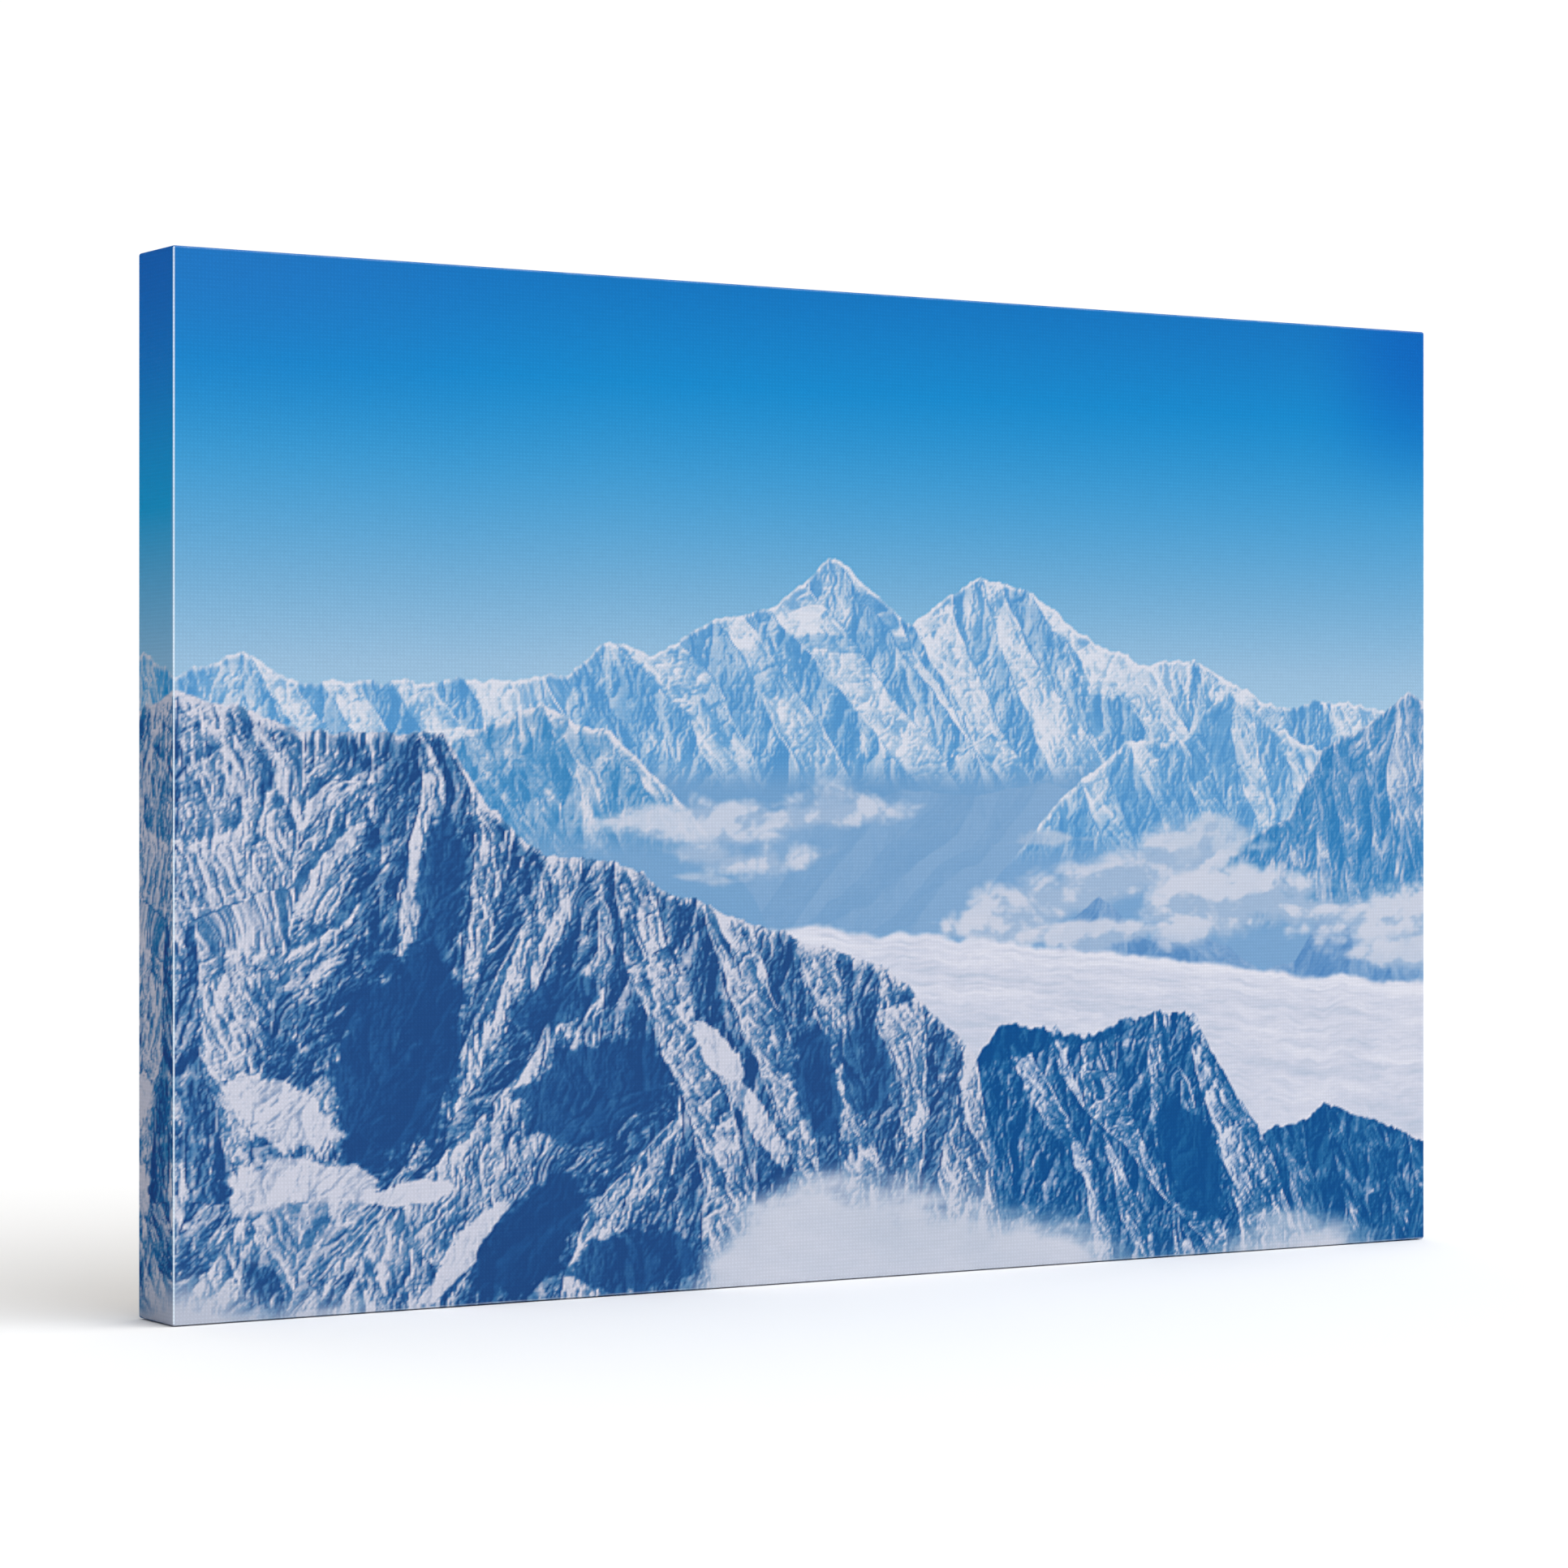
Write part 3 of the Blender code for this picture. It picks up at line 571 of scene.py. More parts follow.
FOG_EDGE = [
    (0, 60), (30, 55), (60, 40), (120, 15), (200, -20), (300, -30), (360, -20),
    (390, 50), (420, 100), (460, 118), (530, 112), (600, 90), (680, 45), (750, 5),
    (800, 0), (850, 35), (900, 35), (950, 10), (1000, 0),
]
FOG_STOPS, FOG_LEFT = [(0, (190, 198, 214)), (1, (209, 212, 225))], (187, 193, 209)
SKY_CORNERS = [(0.35, 0, 0.8, 1, (44, 116, 194), 0.5), (0.88, 1, 0.78, 1, (2, 98, 188), 0.8)]
SHARPENING = 0.9


def paint_clouds(pic, clouds):
    for spine, up, down, seed, lit, density, size in clouds:
        paint_cloud(pic, thousandths(spine), up, down, seed, lit, SHADED, density, size)


def paint(columns, rows):
    """The whole picture from back to front, painted at twice the size and brought down."""
    pic = Picture(2 * columns - 1, 2 * rows - 1)
    paint_sky(pic, SKY, SKY_CORNERS)
    paint_range(pic, FAR)
    paint_veil(pic, (-1, -0.5, 2, 3), (-1, -0.5, 0.485, 0.535), (112, 158, 201), 1.0, 5)
    for spec in (VALLEY, LEFT_MID, RIGHT_PEAK, RIGHT_EDGE):
        paint_range(pic, spec)
    paint_clouds(pic, VALLEY_CLOUDS)
    paint_range(pic, ISLANDS)
    paint_clouds(pic, FRONT_CLOUDS)
    paint_cloud_sea(pic, thousandths(SEA_EDGE), 141, SEA_STOPS)
    for spec in (LOW_RIGHT, LOW_MID, NEAR):
        paint_range(pic, spec)
    paint_fog(pic, thousandths(FOG_EDGE), 231, FOG_STOPS, FOG_LEFT)
    small = halved(halved(pic.colour).transpose(1, 0, 2)).transpose(1, 0, 2)
    return sharpened(small, SHARPENING)


# ---------------- sizes, in metres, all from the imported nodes
low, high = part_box("canvas")
WIDTH, HEIGHT = high.x - low.x, high.z - low.z
FRONT, BACK = low.y, high.y
MIDDLE = (low.z + high.z) / 2
# The cloth's thickness, the outer radius of its turns at the front and the back, the flap's width, and how
# far the print goes round onto the back.
CLOTH, FOLD, BACK_FOLD, FLAP, PRINTED_TURN = 0.0005, 0.0011, 0.0009, 0.0195, 0.012
# Cells across and up the front, the inside face's stride over them, and the columns of a corner's fan.
COLUMNS, ROWS = 720, 560
COARSE = 4
FAN = 4
FAN_STEP = 0.00012
# How far the cloth stands off: its spare at a corner, puffed between staples, folded over at a corner, and
# at the raw edge; then how much the raw edge wanders and how deep its ripple is.
PLEAT, SEATED, PUFF, OVERLAP, FRAYED = 0.00032, 0.00022, 0.0003, 0.00085, 0.00018
WANDER, RIPPLE = 0.0007, 0.00016
# The studio light is above 1 on the front, so the inks and the bare cloth are this much darker.
PRINT_GAIN, BARE_GAIN = 0.70, 0.8
# The wrapped sides are printed a little richer than the front.
SIDE_RICHNESS = 0.32


def linear(colour):
    """A colour of 0 to 255 on the sRGB curve, as linear light."""
    c = np.asarray(colour, np.float64) / 255
    return np.where(c <= 0.04045, c / 12.92, ((c + 0.055) / 1.055) ** 2.4)


# The cotton, the painted highlight along the front folds (partly ink rubbed off there), and the bare cloth.
COTTON, FOLD_HIGHLIGHT, BARE = linear((226, 220, 206)), linear((226, 240, 252)), linear((236, 235, 230))


# ---------------- the cloth
class Ring:
    """Columns round the front's edge, anticlockwise from the bottom left, with a small fan at each corner."""

    def __init__(self, stride):
        half_w, half_h = WIDTH / 2 - FOLD, HEIGHT / 2 - FOLD
        self.columns, self.rows = COLUMNS // stride, ROWS // stride
        corners = np.array([(-half_w, -half_h), (half_w, -half_h), (half_w, half_h), (-half_w, half_h)])
        normals = np.array([(0, -1), (1, 0), (0, 1), (-1, 0)], float)
        width = self.columns + 1
        grid = [0, self.columns, width * (self.rows + 1) - 1, width * self.rows]
        steps = [1, width, -1, -width]
        base, out, corner, share, turn, index, side = [], [], [], [], [], [], []

        def add(where, way, along, fan_place, vertex, number, face):
            base.append(where)
            out.append(way)
            share.append(along)
            turn.append(fan_place)
            index.append(vertex)
            corner.append(number)
            side.append(face)

        for s in range(4):
            before, own = normals[s - 1], normals[s]
            for k in range(FAN + 1):
                angle = k / FAN * math.pi / 2
                way = before * math.cos(angle) + own * math.sin(angle)
                add(corners[s], way, 0.0, k - FAN / 2, grid[s], s, s - 1 if k < FAN / 2 else s)
            count = self.columns if s % 2 == 0 else self.rows
            for i in range(1, count):
                where = corners[s] + (corners[(s + 1) % 4] - corners[s]) * i / count
                add(where, own, i / count, 0.0, grid[s] + steps[s] * i, s, s)
        self.base, self.out = np.array(base), np.array(out)
        self.share, self.turn = np.array(share), np.array(turn)
        self.index, self.corner, self.side = np.array(index), np.array(corner), np.array(side) % 4
        self.corners, self.normals = corners, normals
        self.count = len(base)

    def flap_line(self, depth):
        """Points of the flap at this depth from the fold; depth is one number for each column."""
        inward = np.array([(1, 1), (-1, 1), (-1, -1), (1, -1)], float)
        start = self.corners[self.corner] + inward[self.corner] * depth[:, None]
        following = (self.corner + 1) % 4
        end = self.corners[following] + inward[following] * depth[:, None]
        line = start + (end - start) * self.share[:, None]
        travel = self.normals[self.corner] - self.normals[self.corner - 1]
        return line + travel / math.sqrt(2) * (self.turn * FAN_STEP)[:, None]

    def gap(self, width, height):
        """How far each column is from the nearer corner, on sides of these lengths."""
        return np.minimum(self.share, 1 - self.share) * np.where(self.corner % 2 == 0, width, height)


ARC = [math.radians(a) for a in (12, 24, 36, 45, 54, 66, 78, 90)]
SIDE_ROWS = 24
FLAP_DEPTHS = [0.0006, 0.0013] + list(np.linspace(0.0022, FLAP - 0.0008, 20)) + [FLAP]


def held_places():
    """Where the staples and bumpers hold the flaps down, across and up from the front's middle."""
    names = [n for n in NODES if n.startswith(("staple", "bumper"))]
    middles = [(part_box(n)[0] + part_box(n)[1]) / 2 for n in names]
    return np.array([(middle[0], middle[2] - MIDDLE) for middle in middles])


pins = held_places()


def flap_lift(points, depth, side, from_corner):
    """How far the flap stands off: held by staples, puffed between them, doubled at the corners."""
    distance = np.full(len(points), 1.0)
    for pin in pins:
        distance = np.minimum(distance, np.hypot(points[:, 0] - pin[0], points[:, 1] - pin[1]))
    puff = step(0.003, 0.016, distance) * step(0.0, 0.004, depth)
    ripple = fractal(points[:, 0] * 90, points[:, 1] * 90, 3, 401) * RIPPLE
    over = np.where(side % 2 == 0, OVERLAP, 0.0) * np.exp(-from_corner / 0.014)
    fray = FRAYED * (1 + fractal(points[:, 0] * 60, points[:, 1] * 60, 2, 405))
    lift = step(0.0, 0.002, depth) * SEATED + puff * (PUFF + ripple)
    return lift + over * step(0.0, 0.003, depth) + fray * step(FLAP - 0.004, FLAP, depth)


def wrap_rows(ring, inner):
    """Rows from the front's edge to the flaps' raw edge: points, and how far round the cloth each one is."""
    offset = CLOTH if inner else 0.0
    front, back = FRONT + offset, BACK - offset
    fold, turn = FOLD - offset, BACK_FOLD - offset
    arc, side_count, depths = ARC, SIDE_ROWS, FLAP_DEPTHS
    if inner:
        arc, side_count, depths = ARC[1::3], 3, FLAP_DEPTHS[::4] + [FLAP]
    full = FOLD * math.pi / 2
    straight = (BACK - BACK_FOLD) - (FRONT + FOLD)
    # A corner's spare cloth is folded flat against the top and bottom faces.
    corner_gap = ring.gap(WIDTH - 2 * FOLD, WIDTH - 2 * FOLD)
    pleat = np.where((ring.side % 2 == 0) & (ring.turn == 0), PLEAT, 0.0)
    pleat = pleat * step(0.0006, 0.0014, corner_gap) * step(0.045, 0.038, corner_gap)
    rows, lengths = [], []

    def add(shift, y, length):
        """A row this far out from the front's edge, at this depth, this far round the cloth."""
        flat = ring.base + ring.out * np.asarray(shift)[..., None]
        rows.append(np.column_stack([flat[:, 0], np.broadcast_to(y, ring.count), flat[:, 1]]))
        lengths.append(np.broadcast_to(length, ring.count).copy())

    for angle in arc:
        add(np.full(ring.count, fold * math.sin(angle)), front + fold * (1 - math.cos(angle)), FOLD * angle)
    for i in range(1, side_count + 1):
        t = i / side_count
        grow = float(step(0.0, 0.12, t) * step(1.0, 0.9, t)) if not inner else 0.0
        add(fold + pleat * grow, FRONT + FOLD + straight * t, full + straight * t)
    for angle in arc:
        out = np.full(ring.count, fold - turn + turn * math.cos(angle))
        add(out, back - turn + turn * math.sin(angle), full + straight + BACK_FOLD * angle)
    done = full + straight + BACK_FOLD * math.pi / 2
    wobble = fractal(ring.base[:, 0] * 260, ring.base[:, 1] * 260, 3, 411) * WANDER
    gap = ring.gap(WIDTH, HEIGHT)
    for depth in depths:
        reach = depth + wobble * step(0.6 * FLAP, FLAP, depth)
        line = ring.flap_line(reach)
        lift = flap_lift(line, np.full(ring.count, depth), ring.side, gap)
        rows.append(np.column_stack([line[:, 0], back + lift, line[:, 1]]))
        lengths.append(done + reach)
    return np.array(rows), np.array(lengths)


def front_points(ring, y):
    """The front's grid at this depth, row by row from the bottom left."""
    x = np.linspace(-WIDTH / 2 + FOLD, WIDTH / 2 - FOLD, ring.columns + 1)
    z = np.linspace(-HEIGHT / 2 + FOLD, HEIGHT / 2 - FOLD, ring.rows + 1)
    gx, gz = np.meshgrid(x, z)
    return np.column_stack([gx.ravel(), np.full(gx.size, y), gz.ravel()])


def grid_quads(columns, rows, first):
    """The faces of a grid whose first point has this number."""
    i = np.arange(columns)[None, :] + np.arange(rows)[:, None] * (columns + 1) + first
    return np.stack([i, i + 1, i + columns + 2, i + columns + 1], -1).reshape(-1, 4)


def ring_faces(ring, row_count, front_first, ring_first):
    """Quads between rows, and the first row's faces onto the front grid, triangles at the corner fans."""
    c = np.arange(ring.count)
    following = (c + 1) % ring.count
    inside = front_first + ring.index
    first = np.column_stack([inside, ring_first + c, ring_first + following, inside[following]])
    fan = ring.index == ring.index[following]
    quads, triangles = [first[~fan]], first[fan][:, :3]
    for r in range(row_count - 1):
        a = ring_first + r * ring.count
        b = a + ring.count
        quads.append(np.column_stack([a + c, b + c, b + following, a + following]))
    return np.concatenate(quads), triangles


def build_mesh(name, points, groups):
    """A mesh object. Each group is (polygons of vertex numbers, material index, whether it is smooth)."""
    corners, totals, materials, smooth = [], [], [], []
    for polygons, material, is_smooth in groups:
        if isinstance(polygons, np.ndarray):
            corners.append(polygons.ravel())
            totals.append(np.full(len(polygons), polygons.shape[1]))
        else:
            corners.append(np.concatenate(polygons))
            totals.append(np.array([len(p) for p in polygons]))
        materials.append(np.full(len(polygons), material))
        smooth.append(np.full(len(polygons), is_smooth))
    corners, totals = np.concatenate(corners), np.concatenate(totals)
    mesh = bpy.data.meshes.new(name)
    mesh.vertices.add(len(points))
    mesh.vertices.foreach_set("co", points.astype(np.float32).ravel())
    mesh.loops.add(len(corners))
    mesh.loops.foreach_set("vertex_index", corners.astype(np.int32))
    mesh.polygons.add(len(totals))
    mesh.polygons.foreach_set("loop_start", (np.cumsum(totals) - totals).astype(np.int32))
    mesh.polygons.foreach_set("loop_total", totals.astype(np.int32))
    mesh.polygons.foreach_set("material_index", np.concatenate(materials).astype(np.int32))
    mesh.polygons.foreach_set("use_smooth", np.concatenate(smooth))
    mesh.update(calc_edges=True)
    mesh.validate()
    obj = bpy.data.objects.new(name, mesh)
    bpy.context.scene.collection.objects.link(obj)
    return obj


def sample(picture, x, z):
    """The picture at these places on the front face, mirrored back in where they fall outside."""
    rows, columns = picture.shape[:2]
    u = np.clip((x + WIDTH / 2 - FOLD) / (WIDTH - 2 * FOLD) * (columns - 1), 0, columns - 1.001)
    v = np.clip((z + HEIGHT / 2 - FOLD) / (HEIGHT - 2 * FOLD) * (rows - 1), 0, rows - 1.001)
    i, j = u.astype(int), v.astype(int)
    fu, fv = (u - i)[..., None], (v - j)[..., None]
    below = picture[j, i] * (1 - fu) + picture[j, i + 1] * fu
    above = picture[j + 1, i] * (1 - fu) + picture[j + 1, i + 1] * fu
    return below * (1 - fv) + above * fv


def make_canvas():
    """The cloth: a fine printed outside, a coarser bare inside, and the cut edge between them."""
    ring, coarse = Ring(1), Ring(COARSE)
    outer, lengths = wrap_rows(ring, False)
    inner, _ = wrap_rows(coarse, True)
    front, lining = front_points(ring, FRONT), front_points(coarse, FRONT + CLOTH)
    starts = np.cumsum([0, len(front), outer.shape[0] * ring.count, len(lining)])
    points = np.concatenate([front, outer.reshape(-1, 3), lining, inner.reshape(-1, 3)])
    points[:, 2] += MIDDLE
    outer_quads, outer_triangles = ring_faces(ring, outer.shape[0], starts[0], starts[1])
    inner_quads, inner_triangles = ring_faces(coarse, inner.shape[0], starts[2], starts[3])
    last_outer = starts[1] + (outer.shape[0] - 1) * ring.count
    last_inner = starts[3] + (inner.shape[0] - 1) * coarse.count
    groups = [
        (grid_quads(ring.columns, ring.rows, starts[0]), 0, True),
        (outer_quads, 0, True),
        (outer_triangles, 0, True),
        (grid_quads(coarse.columns, coarse.rows, starts[2])[:, ::-1], 1, True),
        (inner_quads[:, ::-1], 1, True),
        (inner_triangles[:, ::-1], 1, True),
        (raw_edge(ring, coarse, last_outer, last_inner), 1, False),
    ]
    obj = build_mesh("wrapped_canvas", points, groups)
    picture = paint(ring.columns + 1, ring.rows + 1)
    colour = linear(picture).reshape(-1, 3) * PRINT_GAIN
    wrap = wrapped_colours(ring, lengths, picture)
    cotton = np.broadcast_to(COTTON, (len(points) - starts[2], 3))
    rgba = np.ones((len(points), 4), np.float32)
    rgba[:, :3] = np.concatenate([colour, wrap.reshape(-1, 3), cotton])
    attribute = obj.data.attributes.new("print_colour", "FLOAT_COLOR", "POINT")
    attribute.data.foreach_set("color", rgba.ravel())
    # Where each point lies when the cloth is laid flat, so that the weave runs on round the folds.
    flat = np.zeros((len(points), 3), np.float32)
    flat[: len(front), :2] = front[:, [0, 2]]
    flat[starts[1] : starts[2], :2] = (ring.base + ring.out * lengths[..., None]).reshape(-1, 2)
    flat[starts[2] : starts[3], :2] = lining[:, [0, 2]]
    flat[starts[3] :, :2] = inner.reshape(-1, 3)[:, [0, 2]]
    attribute = obj.data.attributes.new("cloth_place", "FLOAT_VECTOR", "POINT")
    attribute.data.foreach_set("vector", flat.ravel())
    return obj


def raw_edge(ring, coarse, last_outer, last_inner):
    """The cut edge's faces, which join each coarse column to the fine columns beside it."""
    fine_of = [ring_column(ring, coarse, c) for c in range(coarse.count)]
    faces = []
    for c in range(coarse.count):
        n = (c + 1) % coarse.count
        start, end = fine_of[c], fine_of[n]
        if end < start:
            end += ring.count
        between = np.arange(start, end + 1) % ring.count
        faces.append(np.concatenate([(last_outer + between)[::-1], [last_inner + c, last_inner + n]]))
    return faces


def wrapped_colours(ring, lengths, picture):
    """The sides and flaps: the picture mirrored about the fold, a painted highlight along it, and bare beyond
    the print.
    """
    mirrored = ring.base - ring.out * lengths[..., None]
    wrap = linear(sample(picture, mirrored[..., 0], mirrored[..., 1])) * PRINT_GAIN
    grey = wrap.mean(-1, keepdims=True)
    richer = 1 + SIDE_RICHNESS * step(0.0005, 0.003, lengths)
    wrap = np.clip(grey + (wrap - grey) * richer[..., None], 0.001, 1)
    place = np.broadcast_to(ring.base, lengths.shape + (2,))
    # A painted highlight where light catches the front fold, partly ink rubbed off there.
    wrap = wrap + (FOLD_HIGHLIGHT - wrap) * fold_highlight_and_wear(ring, lengths, place)[..., None]
    round_sides = (FOLD + BACK_FOLD) * math.pi / 2 + (BACK - FRONT - FOLD - BACK_FOLD)
    ragged = fractal(place[..., 0] * 180, place[..., 1] * 180 + lengths * 90, 3, 421) * 0.0006
    bare = step(-0.0004, 0.0004, lengths - round_sides - PRINTED_TURN + ragged)
    return wrap + (BARE * BARE_GAIN - wrap) * bare[..., None]


def ring_column(ring, coarse, c):
    """The fine column at a coarse column's place."""
    side = coarse.corner[c]
    own = np.flatnonzero(ring.corner == side)
    if coarse.share[c] == 0:
        return own[0] + int(coarse.turn[c] + FAN / 2)
    return own[0] + FAN + int(round(coarse.share[c] * (ring.columns if side % 2 == 0 else ring.rows)))


def fold_highlight_and_wear(ring, lengths, place):
    """A painted highlight along the front folds, partly ink rubbed off there: whole on the left, broken on
    the others.
    """
    across = np.exp(-(((lengths / FOLD - 0.62) / 0.26) ** 2))
    bottom, right, top, left = 0.22, 0.30, 0.10, 0.98
    strength = np.array([bottom, right, top, left])[ring.side]
    broken = np.where(ring.side == 3, 0.08, 0.55)
    run = fractal(place[..., 0] * 240, place[..., 1] * 240, 4, 431)
    return across * np.clip(strength * (1 + broken * run * 2.2), 0, 0.97)


# ---------------- materials
class Nodes:
    """A node tree, with short names for the nodes used here."""

    def __init__(self, tree):
        self.tree = tree

    def link(self, source, target):
        self.tree.links.new(source, target)

    def node(self, kind, **settings):
        made = self.tree.nodes.new(kind)
        for key, value in settings.items():
            setattr(made, key, value)
        return made

    def math(self, operation, *values):
        made = self.node("ShaderNodeMath", operation=operation)
        for socket, value in zip(made.inputs, values):
            if isinstance(value, (int, float)):
                socket.default_value = value
            else:
                self.link(value, socket)
        return made.outputs[0]

    def weighed(self, *parts):
        """The sum of these, each times its weight."""
        products = [self.math("MULTIPLY", value, weight) for value, weight in parts]
        total = products[0]
        for product in products[1:]:
            total = self.math("ADD", total, product)
        return total

    def place(self, scale=(1, 1, 1), source=None):
        if source is None:
            source = self.node("ShaderNodeTexCoord").outputs["Object"]
        mapping = self.node("ShaderNodeMapping")
        mapping.inputs["Scale"].default_value = scale
        self.link(source, mapping.inputs["Vector"])
        return mapping.outputs[0]

    def noise(self, vector, scale, detail=4.0, roughness=0.55, distortion=0.0):
        made = self.node("ShaderNodeTexNoise")
        self.link(vector, made.inputs["Vector"])
        for socket, value in zip(("Scale", "Detail", "Roughness"), (scale, detail, roughness)):
            made.inputs[socket].default_value = value
        made.inputs["Distortion"].default_value = distortion
        return made.outputs["Fac"]

    def ramp(self, value, stops):
        made = self.node("ShaderNodeValToRGB")
        self.link(value, made.inputs["Fac"])
        elements = made.color_ramp.elements
        while len(elements) < len(stops):
            elements.new(0.5)
        for element, (position, colour) in zip(elements, stops):
            element.position = position
            element.color = (*colour, 1)
        return made.outputs["Color"]

    def range(self, value, old, new, **settings):
        made = self.node("ShaderNodeMapRange", **settings)
        self.link(value, made.inputs["Value"])
        for socket, number in zip(("From Min", "From Max", "To Min", "To Max"), (*old, *new)):
            made.inputs[socket].default_value = number
        return made.outputs["Result"]

    def mix(self, factor, a, b, blend="MIX"):
        made = self.node("ShaderNodeMix", data_type="RGBA", blend_type=blend)
        sockets = [s for s in made.inputs if s.enabled]
        for socket, value in zip(sockets, (factor, a, b)):
            if isinstance(value, (int, float)):
                socket.default_value = value
            elif isinstance(value, (tuple, np.ndarray)):
                socket.default_value = (*value, 1)
            else:
                self.link(value, socket)
        return next(s for s in made.outputs if s.enabled)

    def bump(self, height, strength, distance):
        made = self.node("ShaderNodeBump")
        made.inputs["Strength"].default_value = strength
        made.inputs["Distance"].default_value = distance
        self.link(height, made.inputs["Height"])
        return made.outputs["Normal"]

    def separate(self, vector):
        made = self.node("ShaderNodeSeparateXYZ")
        self.link(vector, made.inputs[0])
        return made.outputs

    def grey(self, tone):
        made = self.node("ShaderNodeCombineColor")
        for socket in made.inputs:
            self.link(tone, socket)
        return made.outputs[0]


class Look(Nodes):
    """A material's nodes, and the shader that they feed."""

    def __init__(self, name, colour, roughness, metallic=0.0, specular=0.5):
        self.material = bpy.data.materials.new(name)
        self.material.use_nodes = True
        super().__init__(self.material.node_tree)
        self.shader = self.tree.nodes["Principled BSDF"]
        self.material.diffuse_color = (*colour, 1)
        self.put("Base Color", (*colour, 1))
        self.put("Roughness", roughness)
        self.put("Metallic", metallic)
        self.put("Specular IOR Level", specular)

    def put(self, socket, value):
        self.shader.inputs[socket].default_value = value

    def into(self, source, socket):
        self.link(source, self.shader.inputs[socket])


# The thread's pitch, and how much the weave's painted shade between the threads, the slubs and the flecks
# darken or lighten the print.
THREAD = 0.00075
WEAVE_SHADE, SLUB_TONE, FLECK_TONE = 0.22, 0.11, 0.09


def weave(n, place):
    """A weave's height, about 0 to 1: threads over and under each other, every second one prouder."""
    x, y, _ = n.separate(place)

    def crossing(pitch):
        a = n.math("COSINE", n.math("MULTIPLY", x, math.pi / pitch))
        b = n.math("COSINE", n.math("MULTIPLY", y, math.pi / pitch))
        return n.math("MULTIPLY", a, b)

    def hump(wave):
        return n.math("SQRT", n.math("ABSOLUTE", wave))

    single = crossing(THREAD)
    return n.weighed((hump(single), 0.35), (hump(crossing(2 * THREAD)), 0.5), (single, 0.12))


def canvas_print():
    """The inked side: the painted colours, with painted shade between the weave's threads, mottled by slubs
    and flecks.
    """
    n = Look("printed_cloth", (0.3, 0.5, 0.7), 0.62, specular=0.03)
    place = n.node("ShaderNodeAttribute", attribute_name="cloth_place").outputs["Vector"]
    ink = n.node("ShaderNodeAttribute", attribute_name="print_colour").outputs["Color"]
    height = weave(n, place)
    slub = n.noise(n.place((110, 1400, 1), source=place), 1.0, 2)
    slub_up = n.noise(n.place((1400, 220, 1), source=place), 1.0, 2)
    fleck = n.noise(n.place((900, 900, 1), source=place), 1.0, 3, 0.7)
    # The weave's height darkens the ink between the threads: painted shade in the weave's hollows.
    tone = n.weighed((height, WEAVE_SHADE), (slub, SLUB_TONE), (slub_up, SLUB_TONE), (fleck, FLECK_TONE))
    # The weave averages a quarter of its share and the others half of theirs, which this takes off again.
    tone = n.math("ADD", tone, 1 - WEAVE_SHADE / 4 - SLUB_TONE - FLECK_TONE / 2)
    n.into(n.mix(1.0, ink, n.grey(tone), "MULTIPLY"), "Base Color")
    n.into(n.range(fleck, (0.3, 0.7), (0.55, 0.7)), "Roughness")
    n.into(n.bump(height, 0.35, 0.00012), "Normal")
    return n.material


def raw_cotton():
    """The unprinted side: cream cotton with slubs, dark specks of seed, and painted shade between the weave's
    threads.
    """
    n = Look("raw_cotton", COTTON, 0.8, specular=0.2)
    place = n.node("ShaderNodeAttribute", attribute_name="cloth_place").outputs["Vector"]
    height = weave(n, place)
    slub = n.noise(n.place((90, 1300, 1), source=place), 1.0, 3)
    slub_up = n.noise(n.place((1300, 90, 1), source=place), 1.0, 3)
    cloudy = n.noise(n.place((12, 12, 1), source=place), 1.0, 4)
    seeds = n.noise(n.place((700, 700, 1), source=place), 1.0, 2, 0.8)
    # The weave's height darkens the cotton between the threads: painted shade in the weave's hollows.
    tone = n.weighed((height, 0.16), (slub, 0.22), (slub_up, 0.22), (cloudy, 0.12))
    colour = n.ramp(tone, [(0.15, linear((196, 187, 168))), (0.45, linear((229, 223, 208)))])
    speck = n.range(seeds, (0.72, 0.78), (0.0, 0.55))
    n.into(n.mix(speck, colour, linear((158, 138, 104))), "Base Color")
    n.into(n.bump(height, 0.5, 0.0002), "Normal")
    return n.material


